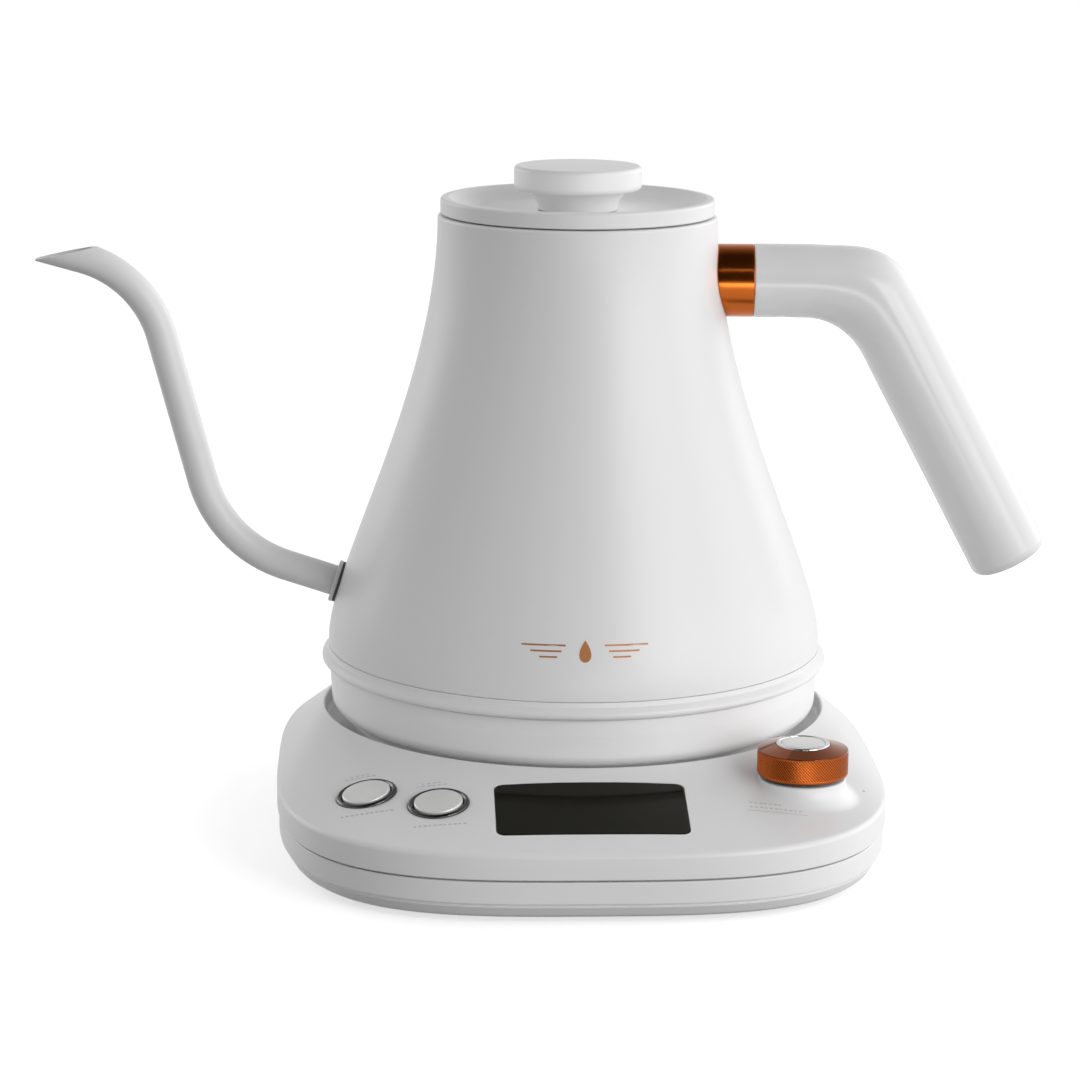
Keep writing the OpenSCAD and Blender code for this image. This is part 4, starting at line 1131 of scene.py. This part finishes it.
def panel_dashes():
    """Faint printed dashes that stand for the controls' captions."""
    p = Piece()
    lines = []
    for place in BUTTONS.values():
        x, y, _ = place.translation
        lines += [(x - 1.5, y + 11.2, 9.0, 0.5), (x - 1.5, y + 12.6, 6.0, 0.45),
                  (x + 0.5, y - 12.0, 15.0, 0.8)]
    lines += [(DIAL_X - 11, DIAL_Y - 14.6, 11, 0.6), (DIAL_X - 9, DIAL_Y - 17.2, 15, 0.6),
              (DIAL_X - 9, DIAL_Y - 19.2, 17, 0.3)]
    lift, thick = 0.02, 0.02
    for cx, cy, length, width in lines:
        count = max(int(length / 1.3), 1)
        pitch = length / count
        for i in range(count):
            share = 1.0 if width < 0.4 else 0.55 + 0.2 * ((i * 7) % 3) / 2
            x0 = cx - length / 2 + i * pitch
            loop = rounded_rectangle(pitch * share, width, min(width, pitch * share) * 0.3, 2, 2) + [
                x0 + pitch * share / 2, cy]
            low = p.ring(lifted(loop, panel(loop) - thick))
            high = p.ring(lifted(loop, panel(loop) + lift))
            p.band(low, high)
            p.face(high)
            p.face(low[::-1])
    p.make("panel_print", "base", "white_shell", looks=["print"])


def emblem():
    """Plain drop between two sets of bars, in thin copper on the body's front."""
    p = Piece()
    z0, proud = 64.4, 0.06
    front = TURN - math.pi / 2 + math.radians(2.5)

    def shape(loop):
        rings = []
        for out in (-0.1, proud):
            points = []
            for u, v in loop:
                z = z0 + v
                r = body_r(z) + out
                a = front + u / body_r(z)
                points.append((r * math.cos(a), r * math.sin(a), z))
            rings.append(p.ring(points))
        p.band(rings[0], rings[1])
        p.face(rings[1])
        p.face(rings[0][::-1])

    def bar(x0, x1, z, width):
        count = 8
        xs = np.linspace(x0, x1, count)
        return [(x, z - width / 2) for x in xs] + [(x, z + width / 2) for x in xs[::-1]]

    for side in (-1, 1):
        for k in range(3):
            start, stop = 5.5 + 1.2 * k, 18 - 2.5 * k
            a, b = sorted((side * start, side * stop))
            shape(bar(a, b, 1.6 - 1.6 * k, 0.45))
    t = np.linspace(0, 2 * math.pi, 49)[:-1]
    drop = np.column_stack([2.2 * np.sin(t) * np.sin(t / 2), 3.0 * np.cos(t)])
    shape([tuple(q) for q in drop[::-1]])
    p.make("body_emblem", "kettle", "copper", looks=["copper_print"])


# ---------------------------------------------------------------- stage, lights and camera


FLOOR_GLOW = (0.28, 0.55)  # as seen in reflections, and by the camera


def stage():
    """Pale paper floor that glows a little, so that it stays white."""
    mesh = bpy.data.meshes.new("floor")
    size = 9.0
    corners = [(x * size, y * size, 0) for x, y in ((-1, -1), (1, -1), (1, 1), (-1, 1))]
    mesh.from_pydata(corners, [], [(0, 1, 2, 3)])
    floor = bpy.data.objects.new("floor", mesh)
    bpy.context.scene.collection.objects.link(floor)
    paper = finish_of("paper_sweep", (0.93, 0.93, 0.93), 0.8, grain=400, bump=0.00001, mottle=0.004)
    tree = paper.node_tree
    seen = linked(tree, "ShaderNodeLightPath")["Is Camera Ray"]
    glow = map_range(tree, seen, to_min=FLOOR_GLOW[0], to_max=FLOOR_GLOW[1])
    wire(tree, tree.nodes["Principled BSDF"], {"Emission Color": (1, 1, 1, 1), "Emission Strength": glow})
    mesh.materials.append(paper)
    floor.visible_diffuse = False


def light(name, place, aim, width, height, power):
    data = bpy.data.lights.new(name, "AREA")
    data.shape, data.size, data.size_y, data.energy = "RECTANGLE", width, height, power
    lamp = bpy.data.objects.new(name, data)
    lamp.location = place
    lamp.rotation_euler = (Vector(aim) - Vector(place)).to_track_quat("-Z", "Y").to_euler()
    bpy.context.scene.collection.objects.link(lamp)


def room(walls):
    """Soft light from all round, weaker below the horizon. walls gives the strength towards
    +X, -X, +Y, -Y, +Z and -Z."""
    world = bpy.data.worlds.new("studio")
    bpy.context.scene.world = world
    world.use_nodes = True
    tree = world.node_tree
    tree.nodes.clear()
    way = linked(tree, "ShaderNodeSeparateXYZ", {"Vector": linked(tree, "ShaderNodeTexCoord")["Generated"]})

    def maths(operation, *inputs, **settings):
        inputs = dict(enumerate(inputs))
        return linked(tree, "ShaderNodeMath", inputs, operation=operation, **settings)["Value"]

    total = 0.0
    for k, strength in enumerate(walls):
        toward = maths("MULTIPLY", way[k // 2], -1.0 if k % 2 else 1.0, use_clamp=True)
        total = maths("MULTIPLY_ADD", maths("POWER", toward, 2.0), strength, total)
    fall = map_range(tree, way["Z"], from_min=-0.35, from_max=0.05, to_min=0.3, to_max=1.0)
    white = {"Color": (1, 1, 1, 1)}
    wall = linked(tree, "ShaderNodeBackground", {**white, "Strength": maths("MULTIPLY", total, fall)})
    mix = linked(tree, "ShaderNodeMixShader", {
        "Fac": linked(tree, "ShaderNodeLightPath")["Is Camera Ray"], 1: wall["Background"],
        2: linked(tree, "ShaderNodeBackground", white)["Background"]})
    linked(tree, "ShaderNodeOutputWorld", {"Surface": mix["Shader"]})


def camera():
    """A long lens 3.2 degrees left of the front, looking 12.3 degrees down, rolled by 0.44 degrees."""
    turn = math.radians(-3.2)
    yaw, pitch, roll = math.radians(-0.594) - turn, math.radians(12.282), math.radians(0.444)
    distance, height = 0.9973, 0.2979
    view = Vector((math.sin(yaw) * math.cos(pitch), math.cos(yaw) * math.cos(pitch), -math.sin(pitch)))
    right = Vector((math.cos(yaw), -math.sin(yaw), 0))
    up = right.cross(view)
    across = math.cos(roll) * right + math.sin(roll) * up
    top = -math.sin(roll) * right + math.cos(roll) * up
    place = Matrix((across, top, -view)).transposed().to_4x4()
    place.translation = (distance * math.sin(turn), -distance * math.cos(turn), height)
    data = bpy.data.cameras.new("camera")
    data.lens, data.sensor_width = 113.33, 36
    data.clip_start, data.clip_end = 0.05, 40
    seen = bpy.data.objects.new("camera", data)
    seen.matrix_world = place
    bpy.context.scene.collection.objects.link(seen)
    bpy.context.scene.camera = seen


dress_cad_nodes()
base_top()
base_bottom()
display_window()
buttons()
dial()
body()
trim()
lid()
spout()
spout_washer()
collar()
grip()
panel_dashes()
emblem()
stage()
room((1.77, 0.93, 0.94, 0.0, 0.03, 0.0))
MIDDLE = (0, 0, 0.1)
light("right_front", (0.95, -0.95, 0.5), MIDDLE, 0.6, 0.8, 4.95)
light("right_back", (1.05, 0.75, 0.5), MIDDLE, 0.8, 0.8, 1.6)
light("left_back", (-1.05, 0.75, 0.5), MIDDLE, 0.8, 0.8, 2.8)
light("tall_strip", (0.62, -1.15, 0.5), MIDDLE, 0.09, 0.9, 2.4)
light("low_strip", (0.13, -0.85, 0.06), (0.05, 0, 0.16), 0.35, 0.12, 0.6)
light("thin_strip", (0.13, -0.9, 0.9), (0.05, 0, 0.16), 0.35, 0.02, 0.12)
camera()
bpy.context.scene.view_settings.view_transform = "Standard"
